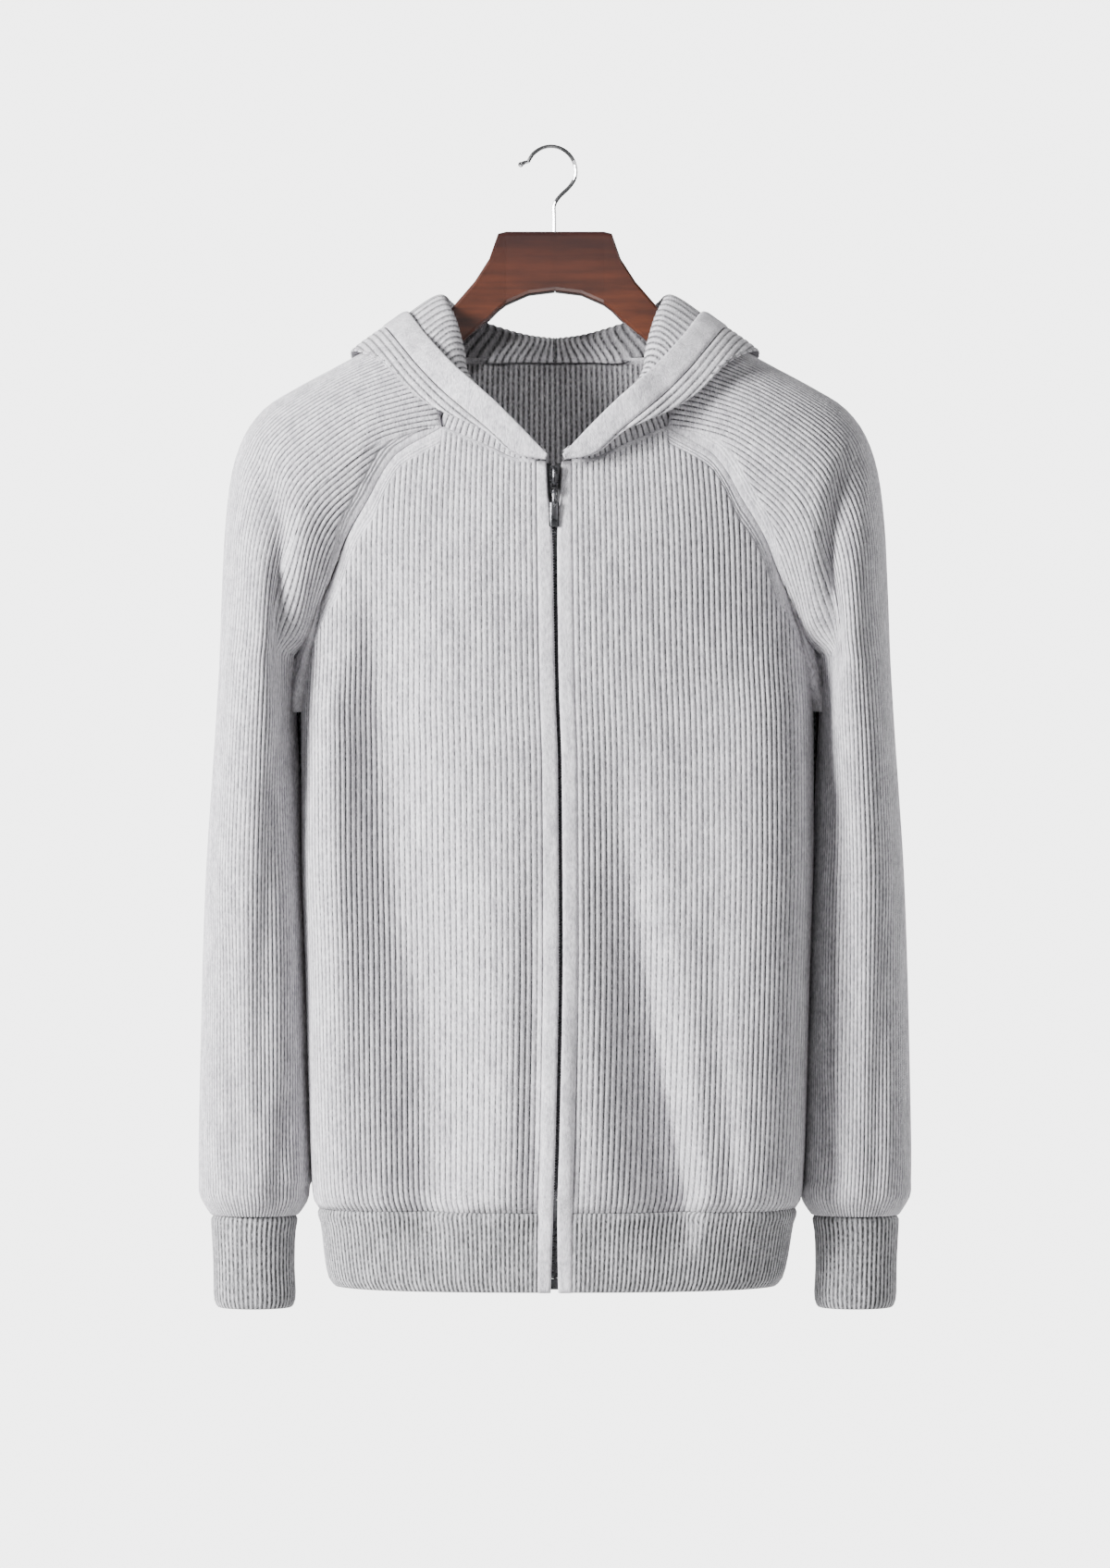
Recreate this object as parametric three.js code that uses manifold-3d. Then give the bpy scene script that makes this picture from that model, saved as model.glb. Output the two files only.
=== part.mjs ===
// Zip-up hoodie in rib-knit wool, hanging from a lacquered wooden hanger.
// Millimetres, +Z up. The front faces -Y and +X is to the right seen from the front.
// The origin is the inside top of the hanger's hook, where a rail carries it.

import * as THREE from 'three';
import { mergeVertices } from 'three/addons/utils/BufferGeometryUtils.js';
import Module from 'manifold-3d';

const wasm = await Module();
wasm.setup();

// Cloth
const wallThickness = 2.2;
const seamGap = 0.3;
const ribHeight = 1.1;
const ribPitch = 13; // one raised ridge stands for three knitted ribs
const trimRibPitch = 14; // one raised ridge stands for four ribs of the hem and cuffs
const sectionPower = 2.5; // how square the torso's level sections are

// Torso
const torsoSections = [
  { z: -158, halfWidth: 191, front: 40, back: 56 },
  { z: -200, halfWidth: 191, front: 60, back: 66 },
  { z: -215, halfWidth: 191, front: 66, back: 70 },
  { z: -237, halfWidth: 191, front: 74, back: 75 },
  { z: -271, halfWidth: 191, front: 82, back: 80 },
  { z: -300, halfWidth: 191, front: 86, back: 84 },
  { z: -345, halfWidth: 191, front: 88, back: 87 },
  { z: -386, halfWidth: 191.5, front: 89, back: 88 },
  { z: -436, halfWidth: 193.5, front: 90, back: 88 },
  { z: -520, halfWidth: 193.5, front: 90, back: 87 },
  { z: -625, halfWidth: 190.5, front: 90, back: 86 },
  { z: -730, halfWidth: 187.6, front: 89, back: 85 },
  { z: -785, halfWidth: 185.4, front: 87, back: 83 },
  { z: -797, halfWidth: 184, front: 84, back: 80 },
  { z: -804, halfWidth: 181, front: 80, back: 76 },
  { z: -811, halfWidth: 179.3, front: 79, back: 75 },
  { z: -845, halfWidth: 174.5, front: 77, back: 73 },
  { z: -857, halfWidth: 171.5, front: 76.5, back: 72.5 },
  { z: -864, halfWidth: 166, front: 75.5, back: 71.5 },
];
const hemSeamZ = -804;
const hemZ = -864;
const underarmZ = -386;

// The zip line wanders a little to the right of the middle, and the sides follow less
const zipLine = [
  { z: -158, x: 0, side: 0 },
  { z: -243, x: -0.8, side: 0.6 },
  { z: -310, x: 0, side: 1.2 },
  { z: -410, x: 1.6, side: 1.6 },
  { z: -471, x: 3.6, side: 1.8 },
  { z: -604, x: 4.4, side: 2 },
  { z: -744, x: 2, side: 2 },
  { z: -803, x: 0.2, side: 1.8 },
  { z: -864, x: -0.4, side: 0.4 },
];

// Creases of the hanging cloth: a soft trough's middle, depth and half width by height
const creases = [
  { face: 'front', path: [
    { z: -340, x: -156, depth: 0, spread: 26 },
    { z: -460, x: -143, depth: 4, spread: 27 },
    { z: -576, x: -129.5, depth: 8, spread: 28 },
    { z: -688, x: -118.3, depth: 12, spread: 28 },
    { z: -791, x: -118.3, depth: 13, spread: 26 },
    { z: -830, x: -119, depth: 0, spread: 26 },
  ] },
  { face: 'front', path: [
    { z: -430, x: 34, depth: 0, spread: 24 },
    { z: -540, x: 43, depth: 4, spread: 22 },
    { z: -632, x: 57.4, depth: 9, spread: 21 },
    { z: -744, x: 76, depth: 12, spread: 20 },
    { z: -797, x: 87.2, depth: 11, spread: 19 },
    { z: -830, x: 89, depth: 0, spread: 19 },
  ] },
  { face: 'front', path: [
    { z: -560, x: -16, depth: 0, spread: 9 },
    { z: -680, x: -15, depth: 4, spread: 9 },
    { z: -780, x: -14, depth: 4.5, spread: 9 },
    { z: -815, x: -14, depth: 0, spread: 9 },
  ] },
  { face: 'back', path: [
    { z: -400, x: -62, depth: 0, spread: 30 },
    { z: -560, x: -74, depth: 6, spread: 30 },
    { z: -740, x: -84, depth: 11, spread: 28 },
    { z: -795, x: -87, depth: 10, spread: 26 },
    { z: -830, x: -88, depth: 0, spread: 26 },
  ] },
  { face: 'back', path: [
    { z: -420, x: 70, depth: 0, spread: 26 },
    { z: -600, x: 78, depth: 7, spread: 26 },
    { z: -760, x: 92, depth: 10, spread: 24 },
    { z: -797, x: 95, depth: 9, spread: 24 },
    { z: -830, x: 96, depth: 0, spread: 24 },
  ] },
];

// Neck and raglan seams, seen from the front and from behind
const frontNeck = [
  { x: 0, z: -241.4 }, { x: 28.7, z: -240 }, { x: 46.2, z: -232 }, { x: 84.4, z: -215.3 },
];
const frontRaglan = [
  { z: -215.3, x: 84.4 }, { z: -237.3, x: 120.5 }, { z: -271, x: 141.2 }, { z: -298, x: 156.8 },
  { z: -328, x: 168.4 }, { z: -352.5, x: 180 }, { z: -371.9, x: 186.8 }, { z: underarmZ, x: 191.5 },
];
const backNeck = [{ x: 0, z: -158.5 }, { x: 40, z: -158.2 }, { x: 76, z: -158 }];
const backRaglan = [
  { z: -158, x: 76 }, { z: -195, x: 105 }, { z: -245, x: 135 }, { z: -295, x: 160 },
  { z: -340, x: 179 }, { z: -368, x: 187.5 }, { z: underarmZ, x: 191.5 },
];

// Sleeve rings: the ridge on the outside, where each ring meets the two raglan seams, its half
// depth, and the share of the sleeve's ribs that lie between the ridge and the seams there
const capRings = [
  { outX: 99, outZ: -131, frontZ: -215.3, backZ: -158, depth: 62.5, seamShare: 0.62 },
  { outX: 135, outZ: -150.5, frontZ: -224, backZ: -178, depth: 65, seamShare: 0.66 },
  { outX: 165, outZ: -166.8, frontZ: -236, backZ: -200, depth: 67.5, seamShare: 0.705 },
  { outX: 196, outZ: -183.5, frontZ: -254, backZ: -227, depth: 70, seamShare: 0.755 },
  { outX: 219, outZ: -198, frontZ: -276, backZ: -254, depth: 72, seamShare: 0.805 },
  { outX: 235, outZ: -219, frontZ: -300, backZ: -284, depth: 74, seamShare: 0.855 },
  { outX: 244.5, outZ: -248, frontZ: -324, backZ: -314, depth: 75.5, seamShare: 0.9 },
  { outX: 249.5, outZ: -290, frontZ: -348, backZ: -343, depth: 76.5, seamShare: 0.94 },
  { outX: 252, outZ: -338, frontZ: -369, backZ: -367, depth: 77, seamShare: 0.972 },
  { outX: 253.5, outZ: -386, frontZ: underarmZ, backZ: underarmZ, depth: 77, seamShare: 1 },
];
const armRings = [
  { z: -436, outX: 256.5, depth: 75, back: 3 },
  { z: -485, outX: 260, depth: 71, back: 5 },
  { z: -555, outX: 264.5, depth: 66, back: 6 },
  { z: -625, outX: 267, depth: 60, back: 6 },
  { z: -695, outX: 268.7, depth: 54, back: 6 },
  { z: -764, outX: 270, depth: 49, back: 6 },
  { z: -788, outX: 269.6, depth: 46, back: 6 },
  { z: -800, outX: 265.5, depth: 41, back: 6 },
  { z: -810.5, outX: 261.2, depth: 33, back: 6 },
];
const wristRings = [
  { z: -788, inX: 187.6 }, { z: -800, inX: 190.8 }, { z: -810.5, inX: 195.6 },
];
const cuffRings = [
  { z: -810.5, outX: 261, inX: 196, depth: 31 },
  { z: -828, outX: 260, inX: 198.6, depth: 28 },
  { z: -850, outX: 259, inX: 199, depth: 27 },
  { z: -872, outX: 258.8, inX: 198, depth: 27 },
  { z: -881, outX: 256, inX: 200.5, depth: 26 },
];
const sleeveClearance = 1.8; // between the body's side and the sleeve that hangs beside it

// The hood lies down: from the neck seam it rises, rolls over outwards, drops to a fold and
// comes back up to its free edge. One row for each station from the zip to the nape. The seam
// place is x along the neck of a front or back panel, or degrees round the sleeve's neck edge.
const hoodStations = [
  { seam: 'front', place: 7, roll: [7, -79.5, -234.5], fold: [7.5, -87, -240.6], edge: [7, -92.5, -236] },
  { seam: 'front', place: 28, roll: [26, -79, -223], fold: [29, -87.5, -237.5], edge: [23.5, -92, -218.5] },
  { seam: 'front', place: 46, roll: [42, -77.5, -205], fold: [51, -87, -220], edge: [45.5, -91, -196.5] },
  { seam: 'front', place: 65, roll: [58, -72, -189], fold: [69, -84.5, -211.5], edge: [60, -87, -183.5] },
  { seam: 'front', place: 83, roll: [70, -61, -172], fold: [88, -78, -202.5], edge: [74, -76, -170.5] },
  { seam: 'sleeveFront', place: 62, roll: [75, -46, -150], fold: [106, -72, -190], edge: [86, -66, -157.5] },
  { seam: 'sleeveFront', place: 32, roll: [79.5, -29, -131], fold: [128.5, -58, -167], edge: [98.5, -46, -142] },
  { seam: 'sleeveFront', place: 0, roll: [87, 0, -114], fold: [149, -23, -151], edge: [111.5, -15.5, -124.6] },
  { seam: 'sleeveBack', place: 30, roll: [82, 29, -117], fold: [153, 27, -152.5], edge: [116.5, 27, -126.6] },
  { seam: 'sleeveBack', place: 72, roll: [68, 57, -125], fold: [148, 76, -170], edge: [107, 70, -138] },
  { seam: 'back', place: 51, roll: [45, 59, -134], fold: [124, 92, -230], edge: [84, 86, -156] },
  { seam: 'back', place: 26, roll: [22, 63, -140], fold: [76, 110, -322], edge: [46, 100, -166] },
  { seam: 'back', place: 0, roll: [0, 64, -142.5], fold: [0, 116, -372], edge: [0, 105, -171] },
];
const hoodThickness = 2;
const hoodSeamLift = 1; // the hood's neck edge stands this far clear of the sleeve's
const hoodBandWidth = 21;

// Front bands and zip
const placketWidth = 13; // from the zip's middle to the band's outer edge
const placketGap = [
  { z: -241.4, gap: 11 }, { z: -262, gap: 9.6 }, { z: -285, gap: 5 }, { z: -312, gap: 3.2 },
  { z: -410, gap: 2.8 }, { z: -790, gap: 3 }, { z: -840, gap: 4.4 }, { z: -864, gap: 5.6 },
];
const placketThickness = 2.8;
const placketLift = 0.5;
const tapeHalfWidth = 12;
const tapeThickness = 0.9;
const chainWidth = 5;
const chainThickness = 1.8;
const chainTopZ = -261.2;
const zipBottomZ = -862;
const slider = { topZ: -245, bottomZ: -261.5, width: 8, depth: 7.1, frontY: -84.6 };
const pull = { pivotZ: -264.4, pivotY: -86.6, eyeRadius: 2.1, pinRadius: 0.65, width: 7, length: 27, thickness: 2.2 };
const pullTilt = THREE.MathUtils.degToRad(1.5); // it rests on the front bands
const pinClearance = 0.35;

// Hanger
const hangerSections = [
  { x: 0.15, top: -64, bottom: -109.3, middleY: 0, depth: 11 },
  { x: 20, top: -64, bottom: -111.8, middleY: 0, depth: 11 },
  { x: 37, top: -64, bottom: -119.2, middleY: 0, depth: 11 },
  { x: 43.2, top: -65.5, bottom: -124, middleY: -0.3, depth: 11 },
  { x: 50, top: -84.8, bottom: -131, middleY: -0.6, depth: 11 },
  { x: 61, top: -101.9, bottom: -140.2, middleY: -1, depth: 11 },
  { x: 80, top: -123.9, bottom: -156, middleY: -1.5, depth: 11 },
  { x: 97, top: -136, bottom: -167, middleY: -2, depth: 11 },
  { x: 130, top: -153, bottom: -183, middleY: -2.5, depth: 12 },
  { x: 165, top: -172, bottom: -199, middleY: -3, depth: 13 },
  { x: 194, top: -190, bottom: -211, middleY: -3, depth: 12 },
  { x: 204, top: -199, bottom: -212, middleY: -3, depth: 10 },
];
const woodEdgeRound = 3.2;
const hook = {
  wireRadius: 1.45, arcRadius: 18.9, centreX: -3.1, centreZ: -17.45, shankX: -0.6, shankDepth: 14, ballRadius: 2.1,
};

const knitLook = { color: 0xc3c1c5, roughness: 0.95, metalness: 0 };
const woodLook = { color: 0x6e3219, roughness: 0.25, metalness: 0 };
const steelLook = { color: 0xc9c9c9, roughness: 0.2, metalness: 1 };
const tapeLook = { color: 0x1c1c1e, roughness: 0.8, metalness: 0 };
const gunmetalLook = { color: 0x4a4a4d, roughness: 0.3, metalness: 1 };

const material = (look) => new THREE.MeshStandardMaterial(look);
const hoodie = new THREE.Group();

// Smooth, never overshooting curve through a table's rows, keyed on one of its columns
function smooth(table, key) {
  const rows = [...table].sort((a, b) => a[key] - b[key]);
  const columns = Object.keys(rows[0]).filter((name) => name !== key);
  const slope = (name, i) => (rows[i + 1][name] - rows[i][name]) / (rows[i + 1][key] - rows[i][key]);
  const tangent = (name, i) => {
    if (i === 0) return slope(name, 0);
    if (i === rows.length - 1) return slope(name, i - 1);
    const [before, after] = [slope(name, i - 1), slope(name, i)];
    return before * after <= 0 ? 0 : (2 * before * after) / (before + after);
  };
  return (at) => {
    const value = Math.min(Math.max(at, rows[0][key]), rows.at(-1)[key]);
    const i = Math.min(rows.findLastIndex((row) => row[key] <= value), rows.length - 2);
    const span = rows[i + 1][key] - rows[i][key];
    const t = (value - rows[i][key]) / span;
    const result = {};
    for (const name of columns) {
      result[name] = (1 + 2 * t) * (1 - t) ** 2 * rows[i][name] + t * (1 - t) ** 2 * span * tangent(name, i)
        + t * t * (3 - 2 * t) * rows[i + 1][name] + t * t * (t - 1) * span * tangent(name, i + 1);
    }
    return result;
  };
}

const vector = (x, y, z) => new THREE.Vector3(x, y, z);
const fade = (value, from, to) => THREE.MathUtils.smoothstep(value, from, to);
const steps = (count) => Array.from({ length: count + 1 }, (_, i) => i / count);
const evenCount = (length, step) => 2 * Math.round(length / step / 2);

const torsoAt = smooth(torsoSections, 'z');
const zipAt = smooth(zipLine, 'z');
const placketGapAt = smooth(placketGap, 'z');
const creasePaths = creases.map(({ face, path }) => (
  { face, top: path[0].z, bottom: path.at(-1).z, at: smooth(path, 'z') }
));

// How far the cloth sinks inwards at a place on the front or back
function creaseDepth(face, x, z) {
  let depth = 0;
  for (const crease of creasePaths) {
    if (crease.face !== face || z > crease.top || z < crease.bottom) continue;
    const middle = crease.at(z);
    depth += middle.depth * Math.exp(-(((x - middle.x) / middle.spread) ** 2));
  }
  return depth;
}

// A quarter of the torso's level section, from the middle to the side, with its running length
function quarterSection(z, face) {
  const { halfWidth, front, back } = torsoAt(z);
  const depth = face === 'front' ? front : back;
  const power = 2 / sectionPower;
  const points = steps(48).map((t) => {
    const angle = t * Math.PI / 2;
    return { x: halfWidth * Math.sin(angle) ** power, y: depth * Math.cos(angle) ** power, run: 0 };
  });
  points.slice(1).forEach((point, i) => {
    point.run = points[i].run + Math.hypot(point.x - points[i].x, point.y - points[i].y);
  });
  return points;
}

function alongPolyline(points, key, value) {
  const i = Math.max(0, Math.min(points.findLastIndex((point) => point[key] <= value), points.length - 2));
  const t = (value - points[i][key]) / (points[i + 1][key] - points[i][key]);
  const mix = (name) => THREE.MathUtils.lerp(points[i][name], points[i + 1][name], t);
  return { x: mix('x'), y: mix('y'), run: mix('run') };
}

// Where a panel's columns begin, measured along the cloth from the middle
const panelStart = { front: placketWidth, back: 0 };
const quarterRun = (z, face) => quarterSection(z, face).at(-1).run;

// Point on the torso at a length along the cloth from the middle
function torsoAtRun(z, run, side, face) {
  const quarter = quarterSection(z, face);
  const point = alongPolyline(quarter, 'run', run);
  const zip = zipAt(z);
  const middle = face === 'front' ? zip.x : zip.side;
  const x = side * point.x + THREE.MathUtils.lerp(middle, zip.side, run / quarter.at(-1).run);
  const depth = point.y - creaseDepth(face, x, z);
  return vector(x, face === 'front' ? -depth : depth, z);
}

// A place on the torso: the point and the cloth's normal there
function torsoPlaceAtRun(z, run, side, face) {
  const end = quarterRun(z, face);
  const reach = 1;
  const down = torsoAtRun(z - reach, run * quarterRun(z - reach, face) / end, side, face);
  const up = torsoAtRun(z + reach, run * quarterRun(z + reach, face) / end, side, face);
  const beyond = torsoAtRun(z, Math.min(run + reach, end), side, face);
  const over = beyond.sub(torsoAtRun(z, Math.max(run - reach, 0), side, face));
  const turn = side * (face === 'front' ? 1 : -1);
  return { point: torsoAtRun(z, run, side, face), normal: up.sub(down).cross(over).multiplyScalar(turn).normalize() };
}

// Place on a torso panel: across runs from 0 at its edge near the middle to 1 at the side
const runOf = (z, across, face) => THREE.MathUtils.lerp(panelStart[face], quarterRun(z, face), across);
const torsoPoint = (z, across, side, face) => torsoAtRun(z, runOf(z, across, face), side, face);
const torsoPlace = (z, across, side, face) => torsoPlaceAtRun(z, runOf(z, across, face), side, face);

const acrossOf = (x, z, face) => {
  const run = alongPolyline(quarterSection(z, face), 'x', x).run;
  return (run - panelStart[face]) / (quarterRun(z, face) - panelStart[face]);
};

// The top edge of a torso panel: the neck seam, then the raglan seam down to the underarm
function topEdge(neck, raglan, face) {
  const neckAt = smooth(neck, 'x');
  const raglanAt = smooth(raglan, 'z');
  const corner = raglan[0];
  const neckPoints = steps(12).map((t) => {
    const x = THREE.MathUtils.lerp(panelStart[face], corner.x, t);
    return { across: acrossOf(x, neckAt(x).z, face), z: neckAt(x).z };
  });
  const raglanPoints = steps(40).slice(1).map((t) => {
    const z = THREE.MathUtils.lerp(corner.z, underarmZ, t);
    return { across: t === 1 ? 1 : acrossOf(raglanAt(z).x, z, face), z };
  });
  const edge = [...neckPoints, ...raglanPoints];
  const zAt = (across) => {
    const i = Math.max(0, Math.min(edge.findLastIndex((point) => point.across <= across), edge.length - 2));
    const t = (across - edge[i].across) / (edge[i + 1].across - edge[i].across);
    return THREE.MathUtils.lerp(edge[i].z, edge[i + 1].z, t);
  };
  const seamPoint = (z, side) => torsoPoint(z, z <= underarmZ ? 1 : acrossOf(raglanAt(z).x, z, face), side, face);
  return { zAt, seamPoint, cornerAcross: neckPoints.at(-1).across };
}
const frontTop = topEdge(frontNeck, frontRaglan, 'front');
const backTop = topEdge(backNeck, backRaglan, 'back');

// A cloth wall over a grid of places, each with its point and its normal. The outside has every
// column and may be raised by relief; the plain inside has every second column. The border stands
// back half a seam gap, or what edge says.
function wall(name, look, grid, options) {
  const { inside, thickness = wallThickness, lift = 0 } = options;
  const { relief = () => 0, backRelief = () => 0, edge = () => seamGap / 2 } = options;
  const rows = grid.length;
  const columns = grid[0].length;
  const probe = grid[inside.row][inside.column];
  const sign = Math.sign(probe.normal.dot(probe.point.clone().sub(inside.point)));
  const normals = grid.map((line) => line.map(({ normal }) => normal.clone().multiplyScalar(sign)));
  const at = (r, c) => grid[Math.min(Math.max(r, 0), rows - 1)][Math.min(Math.max(c, 0), columns - 1)].point;

  const inwards = (r, c, toR, toC) => {
    const along = toR === r ? at(r + 1, c).clone().sub(at(r - 1, c)) : at(r, c + 1).clone().sub(at(r, c - 1));
    const step = along.cross(normals[r][c]).setLength(edge(r, c));
    return step.dot(at(toR, toC).clone().sub(at(r, c))) < 0 ? step.negate() : step;
  };
  const base = grid.map((line, r) => line.map(({ point }, c) => {
    const moved = point.clone();
    if (r === 0) moved.add(inwards(r, c, 1, c));
    if (r === rows - 1) moved.add(inwards(r, c, r - 1, c));
    if (c === 0) moved.add(inwards(r, c, r, 1));
    if (c === columns - 1) moved.add(inwards(r, c, r, c - 1));
    return moved;
  }));

  const positions = [];
  const push = (r, c, height) => positions.push(...base[r][c].clone().addScaledVector(normals[r][c], height));
  for (let r = 0; r < rows; r++) for (let c = 0; c < columns; c++) push(r, c, lift + relief(r, c));
  const innerStart = rows * columns;
  const innerColumns = (columns - 1) / 2 + 1;
  for (let r = 0; r < rows; r++) for (let c = 0; c < columns; c += 2) push(r, c, lift - thickness - backRelief(r));

  const outer = (r, c) => r * columns + c;
  const inner = (r, k) => innerStart + r * innerColumns + k;
  const faces = [];
  const apart = (i, j) => Math.hypot(...[0, 1, 2].map((k) => positions[3 * i + k] - positions[3 * j + k]));
  const quad = (a, b, c, d) => {
    faces.push(...(apart(a, c) <= apart(b, d) ? [a, b, c, a, c, d] : [a, b, d, b, c, d]));
  };
  for (let r = 0; r < rows - 1; r++) {
    for (let c = 0; c < columns - 1; c++) quad(outer(r, c), outer(r, c + 1), outer(r + 1, c + 1), outer(r + 1, c));
    for (let k = 0; k < innerColumns - 1; k++) quad(inner(r + 1, k), inner(r + 1, k + 1), inner(r, k + 1), inner(r, k));
    quad(outer(r, 0), outer(r + 1, 0), inner(r + 1, 0), inner(r, 0));
    quad(inner(r, innerColumns - 1), inner(r + 1, innerColumns - 1), outer(r + 1, columns - 1), outer(r, columns - 1));
  }
  const last = rows - 1;
  for (let k = 0; k < innerColumns - 1; k++) {
    const c = 2 * k;
    faces.push(outer(0, c + 1), outer(0, c), inner(0, k));
    faces.push(outer(0, c + 2), outer(0, c + 1), inner(0, k + 1));
    faces.push(inner(0, k + 1), outer(0, c + 1), inner(0, k));
    faces.push(outer(last, c), outer(last, c + 1), inner(last, k));
    faces.push(outer(last, c + 1), outer(last, c + 2), inner(last, k + 1));
    faces.push(outer(last, c + 1), inner(last, k + 1), inner(last, k));
  }
  addSolid(name, look, positions, faces);
}

// Gives each point of a bare grid the normal of the surface through its neighbours
function withNormals(points, { rowBefore, rowAfter, columnAfter } = {}) {
  const [rows, columns] = [points.length, points[0].length];
  const at = (r, c) => {
    const column = Math.max(c, 0);
    if (column >= columns) return columnAfter ? columnAfter[r] : points[r][columns - 1];
    if (r < 0) return rowBefore ? rowBefore[column] : points[0][column];
    if (r >= rows) return rowAfter ? rowAfter[column] : points[rows - 1][column];
    return points[r][column];
  };
  return points.map((line, r) => line.map((point, c) => {
    const down = at(r + 1, c).clone().sub(at(r - 1, c));
    const over = at(r, c + 1).clone().sub(at(r, c - 1));
    return { point, normal: down.cross(over).normalize() };
  }));
}

// Adds a closed solid, turning its faces outwards if its points were listed the other way round
function addSolid(name, look, positions, faces) {
  const corner = (i) => vector(positions[3 * i], positions[3 * i + 1], positions[3 * i + 2]);
  let volume = 0;
  for (let i = 0; i < faces.length; i += 3) {
    volume += corner(faces[i]).dot(corner(faces[i + 1]).cross(corner(faces[i + 2])));
  }
  if (volume < 0) for (let i = 0; i < faces.length; i += 3) [faces[i], faces[i + 1]] = [faces[i + 1], faces[i]];
  const geometry = new THREE.BufferGeometry();
  geometry.setAttribute('position', new THREE.Float32BufferAttribute(positions, 3));
  geometry.setIndex(faces);
  geometry.computeVertexNormals();
  const mesh = new THREE.Mesh(geometry, material(look));
  mesh.name = name;
  hoodie.add(mesh);
}

// Torso panels. Each column follows one rib from the panel's top edge down to the hem seam.
const edgeRows = [0, 5.5, 7.5, 9.5]; // the ridge beside each raglan seam stands at the third row
// Rows near a seam spread no further than this along a column that runs beside it
const steepestColumn = (share) => THREE.MathUtils.lerp(4, 1, fade(share, 0.84, 0.9));
function panelRows(topZ, slope, across, rowCount) {
  const stretch = Math.min(Math.hypot(1, slope), steepestColumn(across));
  const near = edgeRows.map((distance) => topZ - distance * stretch);
  const rest = steps(rowCount).slice(1).map((t) => THREE.MathUtils.lerp(near.at(-1), hemSeamZ, t));
  return [...near, ...rest];
}

// Near the underarm the columns meet the raglan seam at a slant, so the straight cuts between them
// need a wider gap to stay clear of each other
const slantedSeam = (share) => seamGap / 2 + 0.45 * fade(share, 0.4, 0.85);

const bodyRowCount = 7;
function torsoPanel(name, top, face, columnsOf) {
  const columns = columnsOf.map(({ across, side }) => {
    const nudge = 0.004;
    const run = quarterRun(top.zAt(across), face);
    const [below, above] = [Math.max(0, across - nudge), Math.min(1, across + nudge)];
    const slope = (top.zAt(above) - top.zAt(below)) / (2 * nudge * run);
    return panelRows(top.zAt(across), slope, across, bodyRowCount).map((z) => torsoPlace(z, across, side, face));
  });
  const grid = columns[0].map((_, r) => columns.map((column) => column[r]));
  const row = grid.length - 3;
  const column = Math.floor(columns.length / 3);
  const relief = (r, c) => {
    const { across } = columnsOf[c];
    const nearSide = 1 - fade(across, 0.8, 0.9);
    if (r === 2 && across > top.cornerAcross) return ribHeight * 0.8 * nearSide;
    return r > 2 && r < grid.length - 1 && c % 2 === 1 ? ribHeight * nearSide : 0;
  };
  const edge = (r, c) => (r === 0 ? slantedSeam(columnsOf[c].across) : seamGap / 2);
  wall(name, knitLook, grid, { inside: { row, column, point: vector(0, 0, grid[row][column].point.z) }, relief, edge });
}

// Columns over a panel, with one exactly on the neck corner
function panelColumns(corner, face, side) {
  const run = quarterRun(-520, face) - panelStart[face];
  const first = evenCount(corner * run, ribPitch / 2);
  const second = evenCount((1 - corner) * run, ribPitch / 2);
  const near = steps(first).map((t) => t * corner);
  const far = steps(second).slice(1).map((t) => THREE.MathUtils.lerp(corner, 1, t));
  return [...near, ...far].map((across) => ({ across, side }));
}
torsoPanel('front_left', frontTop, 'front', panelColumns(frontTop.cornerAcross, 'front', -1));
torsoPanel('front_right', frontTop, 'front', panelColumns(frontTop.cornerAcross, 'front', 1));
const backHalf = panelColumns(backTop.cornerAcross, 'back', 1);
const otherHalf = backHalf.slice(1).reverse().map(({ across }) => ({ across, side: -1 }));
torsoPanel('back', backTop, 'back', [...otherHalf, ...backHalf]);

// Hem rib: one strip from the left front band round the back to the right one
const hemFront = steps(evenCount(quarterRun(-820, 'front') - placketWidth, trimRibPitch / 2));
const hemBack = steps(evenCount(quarterRun(-820, 'back'), trimRibPitch / 2));
const hemPlaces = [
  ...hemFront.map((across) => ({ across, side: -1, face: 'front' })),
  ...hemBack.slice(0, -1).reverse().map((across) => ({ across, side: -1, face: 'back' })),
  ...hemBack.slice(1, -1).map((across) => ({ across, side: 1, face: 'back' })),
  ...[...hemFront].reverse().map((across) => ({ across, side: 1, face: 'front' })),
];
const hemRows = [hemSeamZ, -812, -852, hemZ];
const hemGrid = hemRows.map((z) => hemPlaces.map(({ across, side, face }) => torsoPlace(z, across, side, face)));
wall('hem_rib', knitLook, hemGrid, {
  inside: { row: 2, column: 10, point: vector(0, 0, -852) },
  relief: (r, c) => (c % 2 === 1 && r > 0 && r < hemRows.length - 1 ? ribHeight * 0.8 : 0),
});

// Sleeves. A ring is two half ovals that share the outer ridge; in the cap each ends on a raglan seam.
const capEnd = capRings.length - 1;
const sleeveEnd = capEnd + armRings.length;
const ringAt = smooth([
  ...capRings.map((ring, s) => ({ s, ...ring, back: 0 })),
  ...armRings.map(({ z, ...ring }, i) => ({ s: capEnd + 1 + i, ...ring, outZ: z, frontZ: z, backZ: z, seamShare: 1 })),
], 's');
const wristAt = smooth(wristRings, 'z');
const wristTop = wristRings[0].z;

// From the armpit down, the sleeve's inner edge hangs just clear of the body's side
const besideBody = (point, side) => point.setX(point.x + side * sleeveClearance * fade(-point.z, 320, 400));
function innerEdge(z, side) {
  return z < wristTop ? vector(side * wristAt(z).inX, 0, z) : besideBody(torsoPoint(z, 1, side, 'front').setY(0), side);
}

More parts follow.
